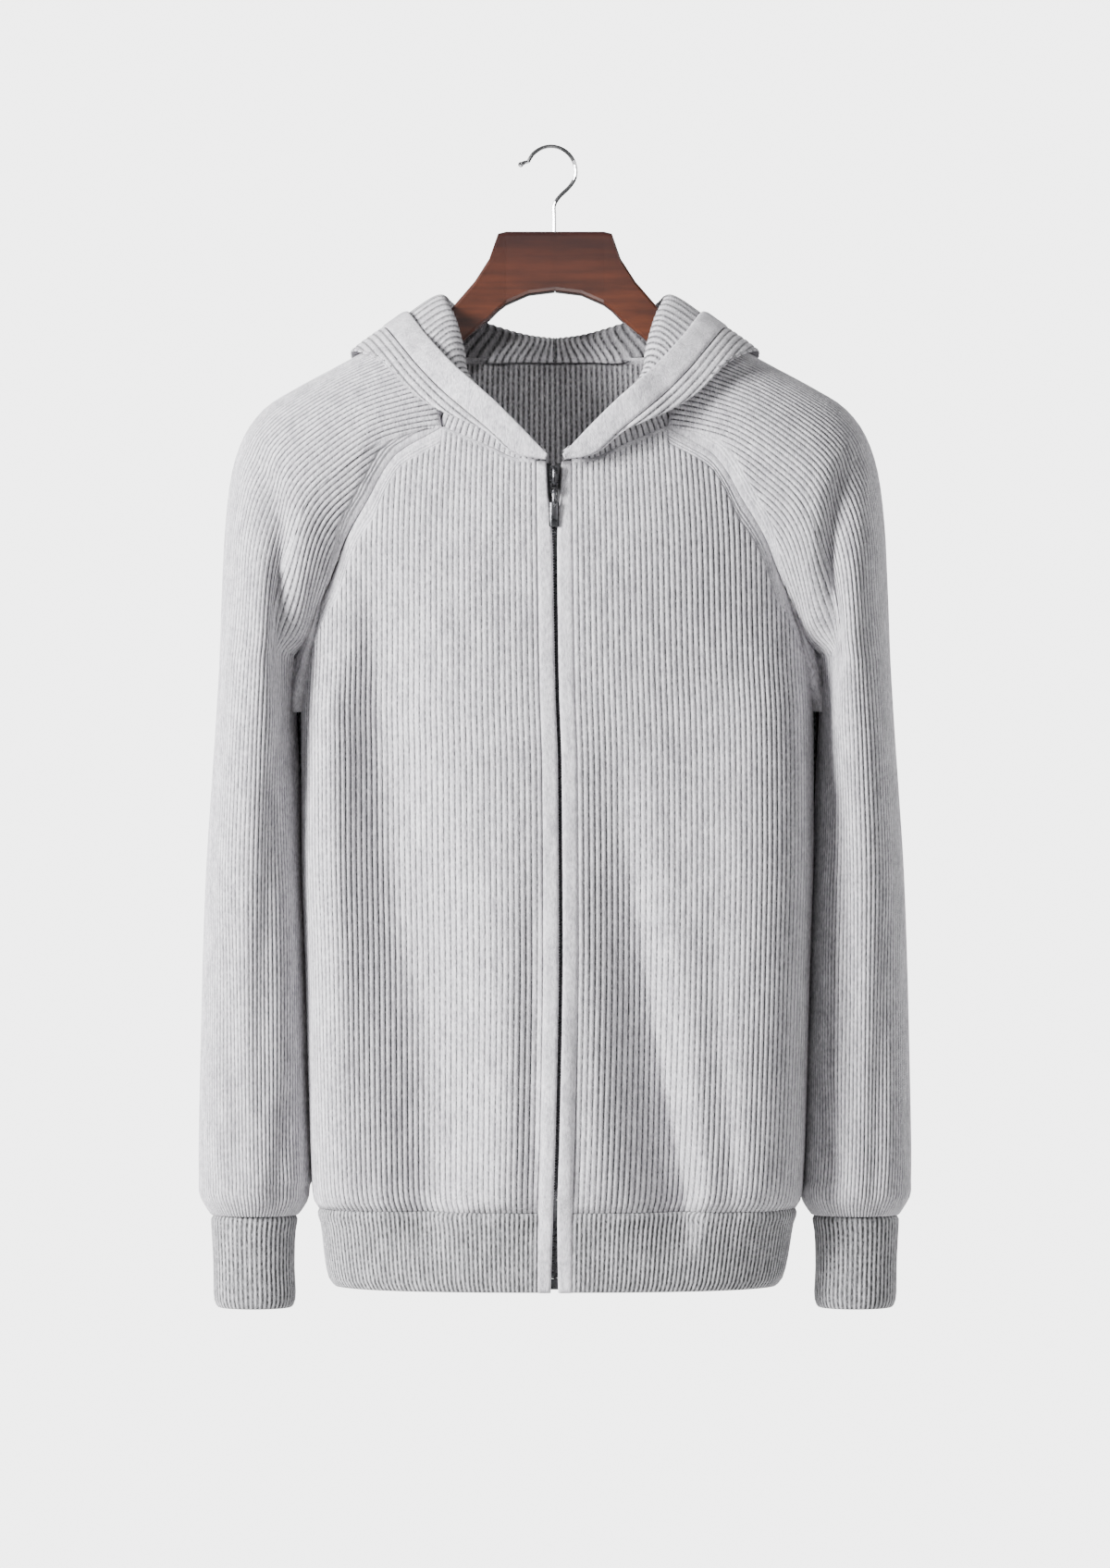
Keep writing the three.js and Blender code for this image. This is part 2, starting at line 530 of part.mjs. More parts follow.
function sleeveRing(s, side) {
  const ring = ringAt(s);
  const inCap = s <= capEnd;
  return {
    ridge: vector(side * ring.outX, 0, ring.outZ),
    depth: ring.depth,
    back: ring.back,
    front: inCap ? besideBody(frontTop.seamPoint(ring.frontZ, side), side) : innerEdge(ring.frontZ, side),
    rear: inCap ? besideBody(backTop.seamPoint(ring.backZ, side), side) : innerEdge(ring.backZ, side),
  };
}

// Half a sleeve ring from the ridge to the seam: points with their normals and the running length.
// The normals are an oval's; where the two halves meet at the ridge they share one direction.
function halfRing({ ridge, depth, back, front, rear }, face) {
  const seam = face === 'front' ? front : rear;
  const cut = Math.PI - Math.asin(Math.min(1, Math.abs(seam.y) / depth));
  const sign = face === 'front' ? -1 : 1;
  const level = ({ x, z }) => vector(ridge.x - x, 0, ridge.z - z);
  const own = level(seam);
  const halfWidth = own.length() / (1 - Math.cos(cut));
  own.normalize();
  const shared = level(front).normalize().add(level(rear).normalize()).normalize();
  const points = steps(40).map((t) => {
    const angle = t * cut;
    const point = ridge.clone().lerp(seam, (1 - Math.cos(angle)) / (1 - Math.cos(cut)));
    point.y = sign * depth * Math.sin(angle) + back;
    const normal = vector(0, sign * Math.sin(angle) / depth, 0);
    normal.addScaledVector(angle < Math.PI / 2 ? shared : own, Math.cos(angle) / halfWidth);
    return { point, normal: normal.normalize(), run: 0 };
  });
  points.slice(1).forEach((place, i) => {
    place.run = points[i].run + place.point.distanceTo(points[i].point);
  });
  return points;
}

function ringPlace(points, run) {
  const i = Math.max(0, Math.min(points.findLastIndex((place) => place.run <= run), points.length - 2));
  const t = (run - points[i].run) / (points[i + 1].run - points[i].run);
  const mix = (name) => points[i][name].clone().lerp(points[i + 1][name], t);
  return { point: mix('point'), normal: mix('normal').normalize() };
}

// Where along the cap a rib begins: on the neck edge, or further down where it leaves the raglan seam
function ribStart(share) {
  let [low, high] = [0, capEnd];
  for (let i = 0; i < 30; i++) {
    const middle = (low + high) / 2;
    if (ringAt(middle).seamShare < share) low = middle;
    else high = middle;
  }
  return share <= capRings[0].seamShare ? 0 : high;
}

// A place on a sleeve: ring s, and the share of the ribs between the ridge and the place
function sleevePlace(s, share, side, face) {
  const place = (at) => {
    const points = halfRing(sleeveRing(at, side), face);
    const full = points.at(-1).run / ringAt(at).seamShare;
    return { ...ringPlace(points, share * full), full };
  };
  const nudge = 0.04;
  const [above, own, below] = [Math.max(s - nudge, 0), s, Math.min(s + nudge, sleeveEnd)].map(place);
  return { ...own, pace: below.point.distanceTo(above.point) / (2 * nudge) };
}

// How far down its column a row must be to lie at a distance from the seam
function sleeveStretch(start, share, side, face) {
  const nudge = 0.05;
  const { pace, full } = sleevePlace(start + nudge, share, side, face);
  if (start === 0) return 1 / pace;
  const spread = (ringAt(start + nudge).seamShare - ringAt(start).seamShare) / nudge * full;
  return Math.min(Math.hypot(spread, pace) / Math.max(spread, 1e-3), steepestColumn(share)) / pace;
}

const levelRings = [capEnd + 0.7, capEnd + 2.6, capEnd + 5, capEnd + 7, capEnd + 8, sleeveEnd];
const capRowCount = 3;
for (const side of [-1, 1]) {
  const fullRun = halfRing(sleeveRing(capEnd, side), 'front').at(-1).run;
  const halfCount = evenCount(fullRun, ribPitch / 2);
  const shares = steps(halfCount);
  const places = [
    ...[...shares].reverse().map((share) => ({ share, face: 'front' })),
    ...shares.slice(1).map((share) => ({ share, face: 'back' })),
  ];
  const columns = places.map(({ share, face }) => {
    const start = ribStart(share);
    const stretch = sleeveStretch(start, share, side, face);
    const near = edgeRows.map((distance) => start + distance * stretch);
    const cap = steps(capRowCount).slice(1, -1).map((t) => THREE.MathUtils.lerp(near.at(-1), levelRings[0], t));
    return [...near, ...cap, ...levelRings].map((s) => sleevePlace(s, share, side, face));
  });
  const grid = columns[0].map((_, r) => columns.map((column) => column[r]));
  const row = 7;
  const relief = (r, c) => {
    const open = 1 - fade(places[c].share, 0.66, 0.78);
    if (r === 2) return ribHeight * 0.8 * open * fade(places[c].share, 0.5, 0.56);
    return r > 2 && r < grid.length - 1 && c % 2 === 1 ? ribHeight * open : 0;
  };
  const point = vector(side * 228, 5, grid[row][halfCount].point.z);
  const edge = (r, c) => (r === 0 ? slantedSeam(places[c].share) : seamGap / 2);
  const inside = { row, column: halfCount, point };
  wall(side < 0 ? 'sleeve_left' : 'sleeve_right', knitLook, grid, { inside, relief, edge });
}

// Cuffs, with their seam on the inner side
const cuffAt = smooth(cuffRings, 'z');
const cuffRows = [-810.5, -820, -870, -881];
const cuffCount = 26;
const cuffBack = 6;
for (const side of [-1, 1]) {
  const grid = cuffRows.map((z) => {
    const { outX, inX, depth } = cuffAt(z);
    return steps(cuffCount).map((t) => {
      const angle = Math.PI + t * 2 * Math.PI;
      const middle = (outX + inX) / 2;
      return vector(side * (middle + (outX - inX) / 2 * Math.cos(angle)), depth * Math.sin(angle) + cuffBack, z);
    });
  });
  const point = vector(side * 229, cuffBack, -846);
  wall(side < 0 ? 'cuff_left' : 'cuff_right', knitLook, withNormals(grid), {
    inside: { row: 2, column: 7, point },
    relief: (r, c) => (c % 2 === 1 && r > 0 && r < cuffRows.length - 1 ? ribHeight * 0.8 : 0),
  });
}

// Front bands, full length from the neck seam to the hem
const bandRows = [
  -241.4, -252, -262, -273, -285, -300, -330, -386, -436, -490, -555, -625, -690, -744, -790, -804, -830, hemZ,
];
for (const side of [-1, 1]) {
  const grid = bandRows.map((z) => steps(2).map((t) => {
    const reach = THREE.MathUtils.lerp(placketGapAt(z).gap / 2, placketWidth, t);
    return torsoPlaceAtRun(z, reach, side, 'front');
  }));
  wall(side < 0 ? 'placket_left' : 'placket_right', knitLook, grid, {
    inside: { row: 8, column: 1, point: vector(0, 0, -436) }, thickness: placketThickness, lift: placketLift,
  });
}

// Zip tapes behind the bands, and the closed chain between them
const tapeDepth = placketLift - placketThickness - 2 * seamGap; // just behind the front bands
for (const side of [-1, 1]) {
  const grid = bandRows.map((z) => steps(2).map((t) => {
    const reach = THREE.MathUtils.lerp(chainWidth / 2 + seamGap, tapeHalfWidth, t);
    return torsoPlaceAtRun(Math.max(z, zipBottomZ), reach, side, 'front');
  }));
  wall(side < 0 ? 'zip_tape_left' : 'zip_tape_right', tapeLook, grid, {
    inside: { row: 8, column: 1, point: vector(0, 0, -436) }, thickness: tapeThickness, lift: tapeDepth,
  });
}
const chainRows = [chainTopZ, ...bandRows.filter((z) => z < chainTopZ && z > zipBottomZ), zipBottomZ];
const chainGrid = chainRows.map((z) => [-1, 0, 1].map((t) => {
  return torsoPlaceAtRun(z, Math.abs(t) * chainWidth / 2, t < 0 ? -1 : 1, 'front');
}));
wall('zip_chain', gunmetalLook, chainGrid, {
  inside: { row: 9, column: 1, point: vector(0, 0, -490) }, thickness: chainThickness, lift: tapeDepth + 0.2,
});

// Hood. Its neck edge follows the neck seam of the panels and sleeves.
const neckSleeve = sleeveRing(0, 1);
function neckPoint({ seam, place }) {
  if (seam === 'front' || seam === 'back') {
    const z = smooth(seam === 'front' ? frontNeck : backNeck, 'x')(place).z;
    const run = alongPolyline(quarterSection(z, seam), 'x', place).run;
    const point = torsoAtRun(z, run, 1, seam);
    const inwards = (wallThickness / 2) * (seam === 'front' ? 1 : -1);
    return vector(place, point.y + inwards, z + hoodSeamLift * 1.2);
  }
  const points = halfRing(neckSleeve, seam === 'sleeveFront' ? 'front' : 'back');
  const { point } = points[Math.round(place / 90 * (points.length - 1))];
  return vector(point.x - hoodThickness / 2 - hoodSeamLift, point.y, point.z + hoodSeamLift);
}
const hoodLines = ['roll', 'fold', 'edge'].map((name) => hoodStations.map((row) => vector(...row[name])));
const hoodCurves = [hoodStations.map(neckPoint), ...hoodLines].map((points) => (
  new THREE.CatmullRomCurve3(points, false, 'centripetal')
));

function hermite(a, leave, b, arrive, t) {
  const point = a.clone().multiplyScalar((1 + 2 * t) * (1 - t) ** 2);
  point.addScaledVector(leave, t * (1 - t) ** 2);
  point.addScaledVector(b, t * t * (3 - 2 * t));
  return point.addScaledVector(arrive, t * t * (t - 1));
}

// One profile of the hood: up to the roll, down to the fold, then up the climb to the free edge,
// whose last stretch is the band
const foldDip = 0.2; // the cloth nears its fold at this slope, like the shoulder under it
const hoodRowCounts = { rise: 4, drop: 7, climb: 5, band: 2 };
function hoodProfile(station) {
  const [neck, roll, fold, edge] = hoodCurves.map((curve) => curve.getPoint(station));
  const out = fold.clone().sub(roll).setZ(0);
  const soft = Math.min(out.length() * 1.5, (roll.z - fold.z) * 2);
  out.normalize();
  const rise = roll.clone().sub(neck);
  const rollTurn = out.clone().multiplyScalar(Math.min(soft, rise.length() * 1.3 + (roll.z - fold.z) * 0.1));
  const foldTurn = out.clone().setZ(-foldDip).normalize().multiplyScalar(Math.min(soft, fold.distanceTo(edge) * 0.9));
  const climb = edge.clone().sub(fold);
  const along = (from, leave, to, arrive, count) => steps(count).map((t) => hermite(from, leave, to, arrive, t));
  const body = [
    ...along(neck, rise.clone().multiplyScalar(1.1), roll, rollTurn, hoodRowCounts.rise),
    ...along(roll, rollTurn, fold, foldTurn, hoodRowCounts.drop).slice(1),
  ];
  const fine = along(fold, foldTurn, edge, climb, 24).map((point) => ({ ...point, left: 0 }));
  for (let i = fine.length - 2; i >= 0; i--) {
    const [a, b] = [fine[i], fine[i + 1]];
    a.left = b.left + Math.hypot(a.x - b.x, a.y - b.y, a.z - b.z);
  }
  const atLeft = (left) => {
    const i = Math.min(Math.max(1, fine.findIndex((point) => point.left <= left)), fine.length - 1);
    const t = (fine[i - 1].left - left) / (fine[i - 1].left - fine[i].left);
    return vector(...['x', 'y', 'z'].map((name) => THREE.MathUtils.lerp(fine[i - 1][name], fine[i][name], t)));
  };
  const full = fine[0].left;
  const bandWidth = Math.min(hoodBandWidth, full * 0.9);
  for (const t of steps(hoodRowCounts.climb).slice(1)) body.push(atLeft(THREE.MathUtils.lerp(full, bandWidth, t)));
  const band = steps(hoodRowCounts.band).map((t) => atLeft(bandWidth * (1 - t)));
  return { body, band };
}

const hoodProfiles = steps(32).map(hoodProfile);
const mirrored = (point, side) => vector(side * point.x, point.y, point.z);
const turnedGrid = (lines) => lines[0].map((_, r) => lines.map((line) => line[r]));
const foldRow = hoodRowCounts.rise + hoodRowCounts.drop;
const probeOutside = (point) => point.clone().multiply(vector(1.2, 1.2, 1));
for (const side of [-1, 1]) {
  const onSide = (points) => points.map((point) => mirrored(point, side));
  const lines = (part) => turnedGrid(hoodProfiles.map((profile) => onSide(profile[part])));
  const body = lines('body');
  const middle = 20;
  const columnAfter = body.map((line) => mirrored(line.at(-2), -1));
  const grid = withNormals(body, { rowAfter: lines('band')[1], columnAfter });
  wall(side < 0 ? 'hood_left' : 'hood_right', knitLook, grid, {
    inside: { row: 1, column: middle, point: probeOutside(body[1][middle]) },
    thickness: hoodThickness, lift: hoodThickness / 2,
    relief: (r, c) => (c % 2 === 1 && r > 0 && r < foldRow - 1 ? ribHeight * 0.8 : 0),
    backRelief: (r) => (r === foldRow + 2 || r === foldRow + 4 ? ribHeight * 0.6 : 0),
    edge: (r) => (r === body.length - 1 ? seamGap * 1.5 : seamGap / 2),
  });
}
const wholeWay = (line) => [...line.map((point) => mirrored(point, -1)), ...line.slice(0, -1).reverse()];
const bandGrid = turnedGrid(hoodProfiles.map((profile) => profile.band)).map(wholeWay);
const rowBefore = wholeWay(hoodProfiles.map((profile) => profile.body.at(-2)));
wall('hood_band', knitLook, withNormals(bandGrid, { rowBefore }), {
  inside: { row: 1, column: 12, point: probeOutside(bandGrid[1][12]) },
  thickness: hoodThickness, lift: hoodThickness / 2, edge: (r) => (r === 0 ? seamGap * 1.5 : seamGap / 2),
});

// Solids for joining and cutting
function toManifold(geometry) {
  const plain = geometry.index ? geometry.toNonIndexed() : geometry.clone();
  for (const name of Object.keys(plain.attributes)) if (name !== 'position') plain.deleteAttribute(name);
  const merged = mergeVertices(plain, 1e-4);
  const vertProperties = new Float32Array(merged.attributes.position.array);
  const triVerts = new Uint32Array(merged.index.array);
  return new wasm.Manifold(new wasm.Mesh({ numProp: 3, vertProperties, triVerts }));
}
function addManifold(name, look, solid) {
  const mesh = solid.getMesh();
  addSolid(name, look, [...mesh.vertProperties], [...mesh.triVerts]);
}
const placed = (geometry, x, y, z) => toManifold(geometry.translate(x, y, z));
const across = (radius, length, sides) => new THREE.CylinderGeometry(radius, radius, length, sides).rotateZ(Math.PI / 2);

// Slider: a tapered body that straddles the chain, with two ears and a cross pin for the pull
const sliderShape = new THREE.Shape([
  new THREE.Vector2(-slider.width / 2, slider.topZ - 2), new THREE.Vector2(-slider.width / 2 + 1.4, slider.topZ),
  new THREE.Vector2(slider.width / 2 - 1.4, slider.topZ), new THREE.Vector2(slider.width / 2, slider.topZ - 2),
  new THREE.Vector2(slider.width / 2 - 1.2, slider.bottomZ), new THREE.Vector2(-slider.width / 2 + 1.2, slider.bottomZ),
]);
const sliderBody = new THREE.ExtrudeGeometry(sliderShape, { depth: slider.depth, bevelEnabled: false });
const sliderX = zipAt(-253).x;
sliderBody.rotateX(Math.PI / 2);
let sliderSolid = placed(sliderBody, sliderX, slider.frontY + slider.depth, 0);
const earThickness = 1.1;
const earX = pull.width / 2 - 1.2;
for (const side of [-1, 1]) {
  const ear = new THREE.BoxGeometry(earThickness, 4.2, 7);
  sliderSolid = sliderSolid.add(placed(ear, sliderX + side * earX, pull.pivotY + 0.9, pull.pivotZ + 2.4));
}
sliderSolid = sliderSolid.add(placed(across(pull.pinRadius, 2 * earX, 10), sliderX, pull.pivotY, pull.pivotZ));
addManifold('zip_slider', gunmetalLook, sliderSolid);

// Pull: an eye that turns on the pin, a neck that passes between the ears, and a flat tab with a rounded end
const eyeWidth = 2 * earX - earThickness - 0.8;
const tabShape = new THREE.Shape();
const tabHalf = pull.width / 2;
tabShape.moveTo(-1.4, -1.2);
tabShape.lineTo(1.4, -1.2);
tabShape.lineTo(1.4, -6.6);
tabShape.lineTo(tabHalf - 0.6, -8.4);
tabShape.lineTo(tabHalf, -pull.length + 3);
tabShape.absarc(0, -pull.length + 3, tabHalf, 0, -Math.PI, true);
tabShape.lineTo(-tabHalf + 0.6, -8.4);
tabShape.lineTo(-1.4, -6.6);
const tab = new THREE.ExtrudeGeometry(tabShape, { depth: pull.thickness, bevelEnabled: false, curveSegments: 8 });
tab.translate(0, 0, -pull.thickness / 2).rotateX(Math.PI / 2);
const eye = across(pull.eyeRadius, eyeWidth, 16);
const pinHole = across(pull.pinRadius + pinClearance, eyeWidth + 2, 16);
const pullSolid = toManifold(tab).add(toManifold(eye)).subtract(toManifold(pinHole));
const leaning = pullSolid.rotate([-THREE.MathUtils.radToDeg(pullTilt), 0, 0]);
addManifold('zip_pull', gunmetalLook, leaning.translate([sliderX, pull.pivotY, pull.pivotZ]));

// Hanger: each half is lofted through rounded oblong sections along its arm
function woodSection({ x, top, bottom, middleY, depth }) {
  const halfHeight = (top - bottom) / 2;
  const middleZ = (top + bottom) / 2;
  const corners = [[1, 1], [-1, 1], [-1, -1], [1, -1]];
  return corners.flatMap(([sy, sz]) => {
    const vertical = { y: sy * depth, z: sz * (halfHeight - woodEdgeRound) };
    const level = { y: sy * (depth - woodEdgeRound), z: sz * halfHeight };
    const cut = woodEdgeRound * (1 - Math.SQRT1_2);
    const middle = { y: sy * (depth - cut), z: sz * (halfHeight - cut) };
    const order = sy * sz > 0 ? [vertical, middle, level] : [level, middle, vertical];
    return order.map(({ y, z }) => vector(x, middleY + y, middleZ + z));
  });
}
const boreRadius = hook.wireRadius + seamGap;
const bore = new THREE.CylinderGeometry(boreRadius, boreRadius, hook.shankDepth * 2 + 1, 16).rotateX(Math.PI / 2);
const shank = placed(bore, hook.shankX, 0, hangerSections[0].top - seamGap - 0.5);
for (const side of [-1, 1]) {
  const sections = hangerSections.map(woodSection);
  const around = sections[0].length;
  const positions = sections.flat().flatMap(({ x, y, z }) => [side * x, y, z]);
  const faces = [];
  for (let i = 0; i < sections.length - 1; i++) {
    for (let k = 0; k < around; k++) {
      const [a, b] = [i * around + k, i * around + (k + 1) % around];
      faces.push(a, b, b + around, a, b + around, a + around);
    }
  }
  const end = (sections.length - 1) * around;
  for (let k = 1; k < around - 1; k++) faces.push(0, k + 1, k, end, end + k, end + k + 1);
  if (side < 0) for (let i = 0; i < faces.length; i += 3) [faces[i], faces[i + 1]] = [faces[i + 1], faces[i]];
  const geometry = new THREE.BufferGeometry();
  geometry.setAttribute('position', new THREE.Float32BufferAttribute(positions, 3));
  geometry.setIndex(faces);
  addManifold(side < 0 ? 'hanger_left' : 'hanger_right', woodLook, toManifold(geometry).subtract(shank));
}

// Hook: a round wire from its ball tip over the arc, then back to the middle and down into the wood
const arcPoint = (degrees) => {
  const angle = THREE.MathUtils.degToRad(degrees);
  return vector(hook.centreX + hook.arcRadius * Math.cos(angle), 0, hook.centreZ + hook.arcRadius * Math.sin(angle));
};
const hookPoints = [
  vector(-26, 0, -12.4), vector(-22.6, 0, -10.6),
  ...[158, 140, 120, 100, 80, 60, 40, 20, 0, -18].map(arcPoint),
  vector(10.8, 0, -29.6), vector(3.4, 0, -36.8), vector(hook.shankX, 0, -43), vector(hook.shankX, 0, -52),
  vector(hook.shankX, 0, hangerSections[0].top - hook.shankDepth),
];
const hookCurve = new THREE.CatmullRomCurve3(hookPoints, false, 'centripetal');
const wireSection = new THREE.Shape().absarc(0, 0, hook.wireRadius, 0, 2 * Math.PI);
const wire = new THREE.ExtrudeGeometry(wireSection, {
  steps: 40, extrudePath: hookCurve, curveSegments: 4, bevelEnabled: false,
});
const ball = new THREE.SphereGeometry(hook.ballRadius, 10, 8);
addManifold('hanger_hook', steelLook, toManifold(wire).add(placed(ball, hookPoints[0].x, 0, hookPoints[0].z)));

export default hoodie;
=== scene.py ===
import math
import bpy
import mathutils
import numpy as np
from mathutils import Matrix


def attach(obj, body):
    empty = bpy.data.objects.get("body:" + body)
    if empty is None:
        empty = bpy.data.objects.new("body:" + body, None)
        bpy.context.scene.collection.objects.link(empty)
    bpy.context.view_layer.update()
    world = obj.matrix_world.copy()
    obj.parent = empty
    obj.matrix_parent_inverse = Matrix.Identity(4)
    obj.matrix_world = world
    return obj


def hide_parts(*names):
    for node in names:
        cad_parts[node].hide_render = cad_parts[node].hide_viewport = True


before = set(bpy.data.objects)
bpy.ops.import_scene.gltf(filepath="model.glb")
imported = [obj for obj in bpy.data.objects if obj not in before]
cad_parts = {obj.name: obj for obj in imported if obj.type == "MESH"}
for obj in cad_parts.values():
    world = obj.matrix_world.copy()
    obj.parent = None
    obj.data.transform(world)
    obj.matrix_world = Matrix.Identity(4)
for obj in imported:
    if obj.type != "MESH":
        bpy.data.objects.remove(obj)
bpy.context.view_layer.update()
mm = 0.001


# Curves and tables, in millimetres, as the solids have them
def pchip(keys, values):  # smooth curve through a table that never overshoots
    order = np.argsort(keys)
    x = np.array(keys, float)[order]
    y = np.array(values, float)[order]
    slope = np.diff(y) / np.diff(x)
    before, after = slope[:-1], slope[1:]
    same = before * after > 0
    inner = np.where(same, 2 * before * after / np.where(same, before + after, 1), 0)
    tangent = np.concatenate([slope[:1], inner, slope[-1:]])

    def at(value):
        q = np.clip(value, x[0], x[-1])
        i = np.clip(np.searchsorted(x, q, side="right") - 1, 0, len(x) - 2)
        span = x[i + 1] - x[i]
        t = (q - x[i]) / span
        start = (1 + 2 * t) * (1 - t) ** 2 * y[i] + t * (1 - t) ** 2 * span * tangent[i]
        return start + t * t * (3 - 2 * t) * y[i + 1] + t * t * (t - 1) * span * tangent[i + 1]

    return at


def columns(names, rows, key):  # a pchip for each column of a table
    fields = names.split()
    keys = [row[fields.index(key)] for row in rows]
    return {name: pchip(keys, [row[i] for row in rows]) for i, name in enumerate(fields) if name != key}


def fade(value, start, end):
    t = np.clip((value - start) / (end - start), 0, 1)
    return t * t * (3 - 2 * t)


def bump(value, middle, spread):
    return np.exp(-(((value - middle) / spread) ** 2))


hemSeamZ, hemZ, underarmZ = -804.0, -864.0, -386.0
bandHalf = 13.0  # from the zip's middle to the front band's outer edge
torso = columns("z halfWidth front back", [
    (-158, 191, 40, 56), (-200, 191, 60, 66), (-215, 191, 66, 70), (-237, 191, 74, 75), (-271, 191, 82, 80),
    (-300, 191, 86, 84), (-345, 191, 88, 87), (-386, 191.5, 89, 88), (-436, 193.5, 90, 88),
    (-520, 193.5, 90, 87), (-625, 190.5, 90, 86), (-730, 187.6, 89, 85), (-785, 185.4, 87, 83),
    (-797, 184, 84, 80), (-804, 181, 80, 76), (-811, 179.3, 79, 75),
    (-845, 174.5, 77, 73), (-857, 171.5, 76.5, 72.5), (-864, 166, 75.5, 71.5),
], "z")
zipLine = columns("z x side", [
    (-158, 0, 0), (-243, -0.8, 0.6), (-310, 0, 1.2), (-410, 1.6, 1.6), (-471, 3.6, 1.8), (-604, 4.4, 2),
    (-744, 2, 2), (-803, 0.2, 1.8), (-864, -0.4, 0.4),
], "z")
frontNeck = pchip([0, 28.7, 46.2, 84.4], [-241.4, -240, -232, -215.3])
backNeck = pchip([0, 40, 76], [-158.5, -158.2, -158])
frontRaglan = pchip([-215.3, -237.3, -271, -298, -328, -352.5, -371.9, -386],
                    [84.4, 120.5, 141.2, 156.8, 168.4, 180, 186.8, 191.5])
backRaglan = pchip([-158, -195, -245, -295, -340, -368, -386], [76, 105, 135, 160, 179, 187.5, 191.5])

# Creases: a soft trough's middle, depth and half widths to its left and right by height.
# A negative depth is a ridge.
creaseTables = {
    "front": [
        [(-300, -136, 0, 14, 26), (-350, -134, 12, 18, 30), (-430, -129, 26, 26, 32),
         (-500, -122, 31, 32, 34), (-600, -108, 34, 38, 36), (-700, -93, 35, 41, 36), (-780, -90, 32, 38, 26),
         (-806, -94, 18, 26, 16), (-842, -98, 0, 22, 14)],
        [(-420, 40, 0, 24, 20), (-530, 52, 9, 28, 18), (-632, 68, 21, 32, 15), (-744, 88, 31, 38, 11),
         (-790, 97, 30, 36, 9), (-808, 98, 16, 28, 8), (-840, 98, 0, 22, 10)],
        [(-540, -16, 0, 9, 6), (-640, -15, 4, 10, 5), (-780, -14, 6, 12, 4), (-800, -14, 5, 12, 4),
         (-830, -14, 0, 9, 4)],
        [(-600, 18, 0, 6, 8), (-700, 17, 3.2, 5, 9), (-780, 16, 4, 4, 10), (-815, 15, 0, 4, 9)],
        [(-350, 172, 0, 40, 12), (-430, 178, -18, 52, 11), (-500, 178, -24, 55, 11), (-640, 174, -23, 54, 11),
         (-780, 168, -14, 46, 11), (-840, 158, 0, 36, 12)],
        [(-370, -172, 0, 10, 18), (-440, -176, -12, 10, 22), (-500, -176, -14, 10, 22),
         (-640, -173, -13, 10, 22),
         (-785, -168, -10, 10, 20), (-840, -160, 0, 12, 18)],
        [(-420, -30, 0, 20, 20), (-540, -34, -2, 24, 18), (-700, -38, -3, 26, 14), (-800, -38, 0, 24, 12)],
        [(-560, 118, 0, 12, 9), (-650, 122, 3, 14, 9), (-750, 130, 4, 14, 8), (-800, 134, 2, 12, 8),
         (-815, 134, 0, 12, 8)],
        [(-610, -66, 0, 10, 9), (-700, -60, 2.5, 12, 8), (-780, -54, 4, 12, 8), (-806, -53, 0, 11, 8)],
        [(-420, -178, 0, 7, 8), (-520, -176, 2, 7, 8), (-660, -173, 1.6, 7, 8), (-780, -170, 0, 7, 8)],
        [(-250, -70, 0, 16, 16), (-300, -84, 2, 18, 16), (-360, -92, 0, 18, 16)],
    ],
    "back": [
        [(-400, -62, 0, 30, 30), (-560, -74, 8, 30, 26), (-740, -84, 14, 28, 20), (-795, -87, 12, 26, 16),
         (-830, -88, 0, 26, 20)],
        [(-420, 70, 0, 26, 26), (-600, 78, 9, 22, 26), (-760, 92, 13, 18, 24), (-797, 95, 11, 15, 24),
         (-830, 96, 0, 20, 24)],
        [(-380, 4, 0, 18, 18), (-500, 6, 3, 20, 16), (-700, 10, 5, 18, 14), (-800, 12, 0, 16, 14)],
        [(-430, -136, 0, 14, 14), (-560, -140, 3, 16, 12), (-760, -146, 4, 15, 10), (-806, -147, 0, 14, 10)],
        [(-450, 140, 0, 14, 14), (-600, 143, 3, 12, 15), (-770, 148, 4, 10, 14), (-806, 150, 0, 10, 14)],
    ],
}


def creasePaths(paths):
    names = "z x depth left right"
    return [columns(names, path, "z") | {"top": path[0][0], "bottom": path[-1][0]} for path in paths]


def sunk(paths, x, z):  # how far the cloth sinks inwards at a place
    depth = np.zeros_like(x)
    for crease in paths:
        inside = (z <= crease["top"]) & (z >= crease["bottom"])
        away = x - crease["x"](z)
        spread = np.where(away > 0, crease["right"](z), crease["left"](z))
        depth += np.where(inside, crease["depth"](z) * np.exp(-((away / spread) ** 2)), 0)
    return depth


creases = {face: creasePaths(paths) for face, paths in creaseTables.items()}


# Torso surface
sectionAngle = np.linspace(0, np.pi / 2, 65)
sectionX, sectionY = np.sin(sectionAngle) ** 0.8, np.cos(sectionAngle) ** 0.8


def quarter(z, face):
    x = torso["halfWidth"](z)[:, None] * sectionX
    y = torso[face](z)[:, None] * sectionY
    steps = np.cumsum(np.hypot(np.diff(x), np.diff(y)), axis=1)
    return x, y, np.concatenate([np.zeros((len(z), 1)), steps], axis=1)


def sample(keys, value, *tables):  # each table's value where its row's keys reach value
    i = np.clip((keys <= value[:, None]).sum(axis=1) - 1, 0, keys.shape[1] - 2)[:, None]
    low, high = np.take_along_axis(keys, i, 1)[:, 0], np.take_along_axis(keys, i + 1, 1)[:, 0]
    t = (value - low) / (high - low)
    near = [np.take_along_axis(k, i, 1)[:, 0] for k in tables]
    far = [np.take_along_axis(k, i + 1, 1)[:, 0] for k in tables]
    return [a * (1 - t) + b * t for a, b in zip(near, far)]


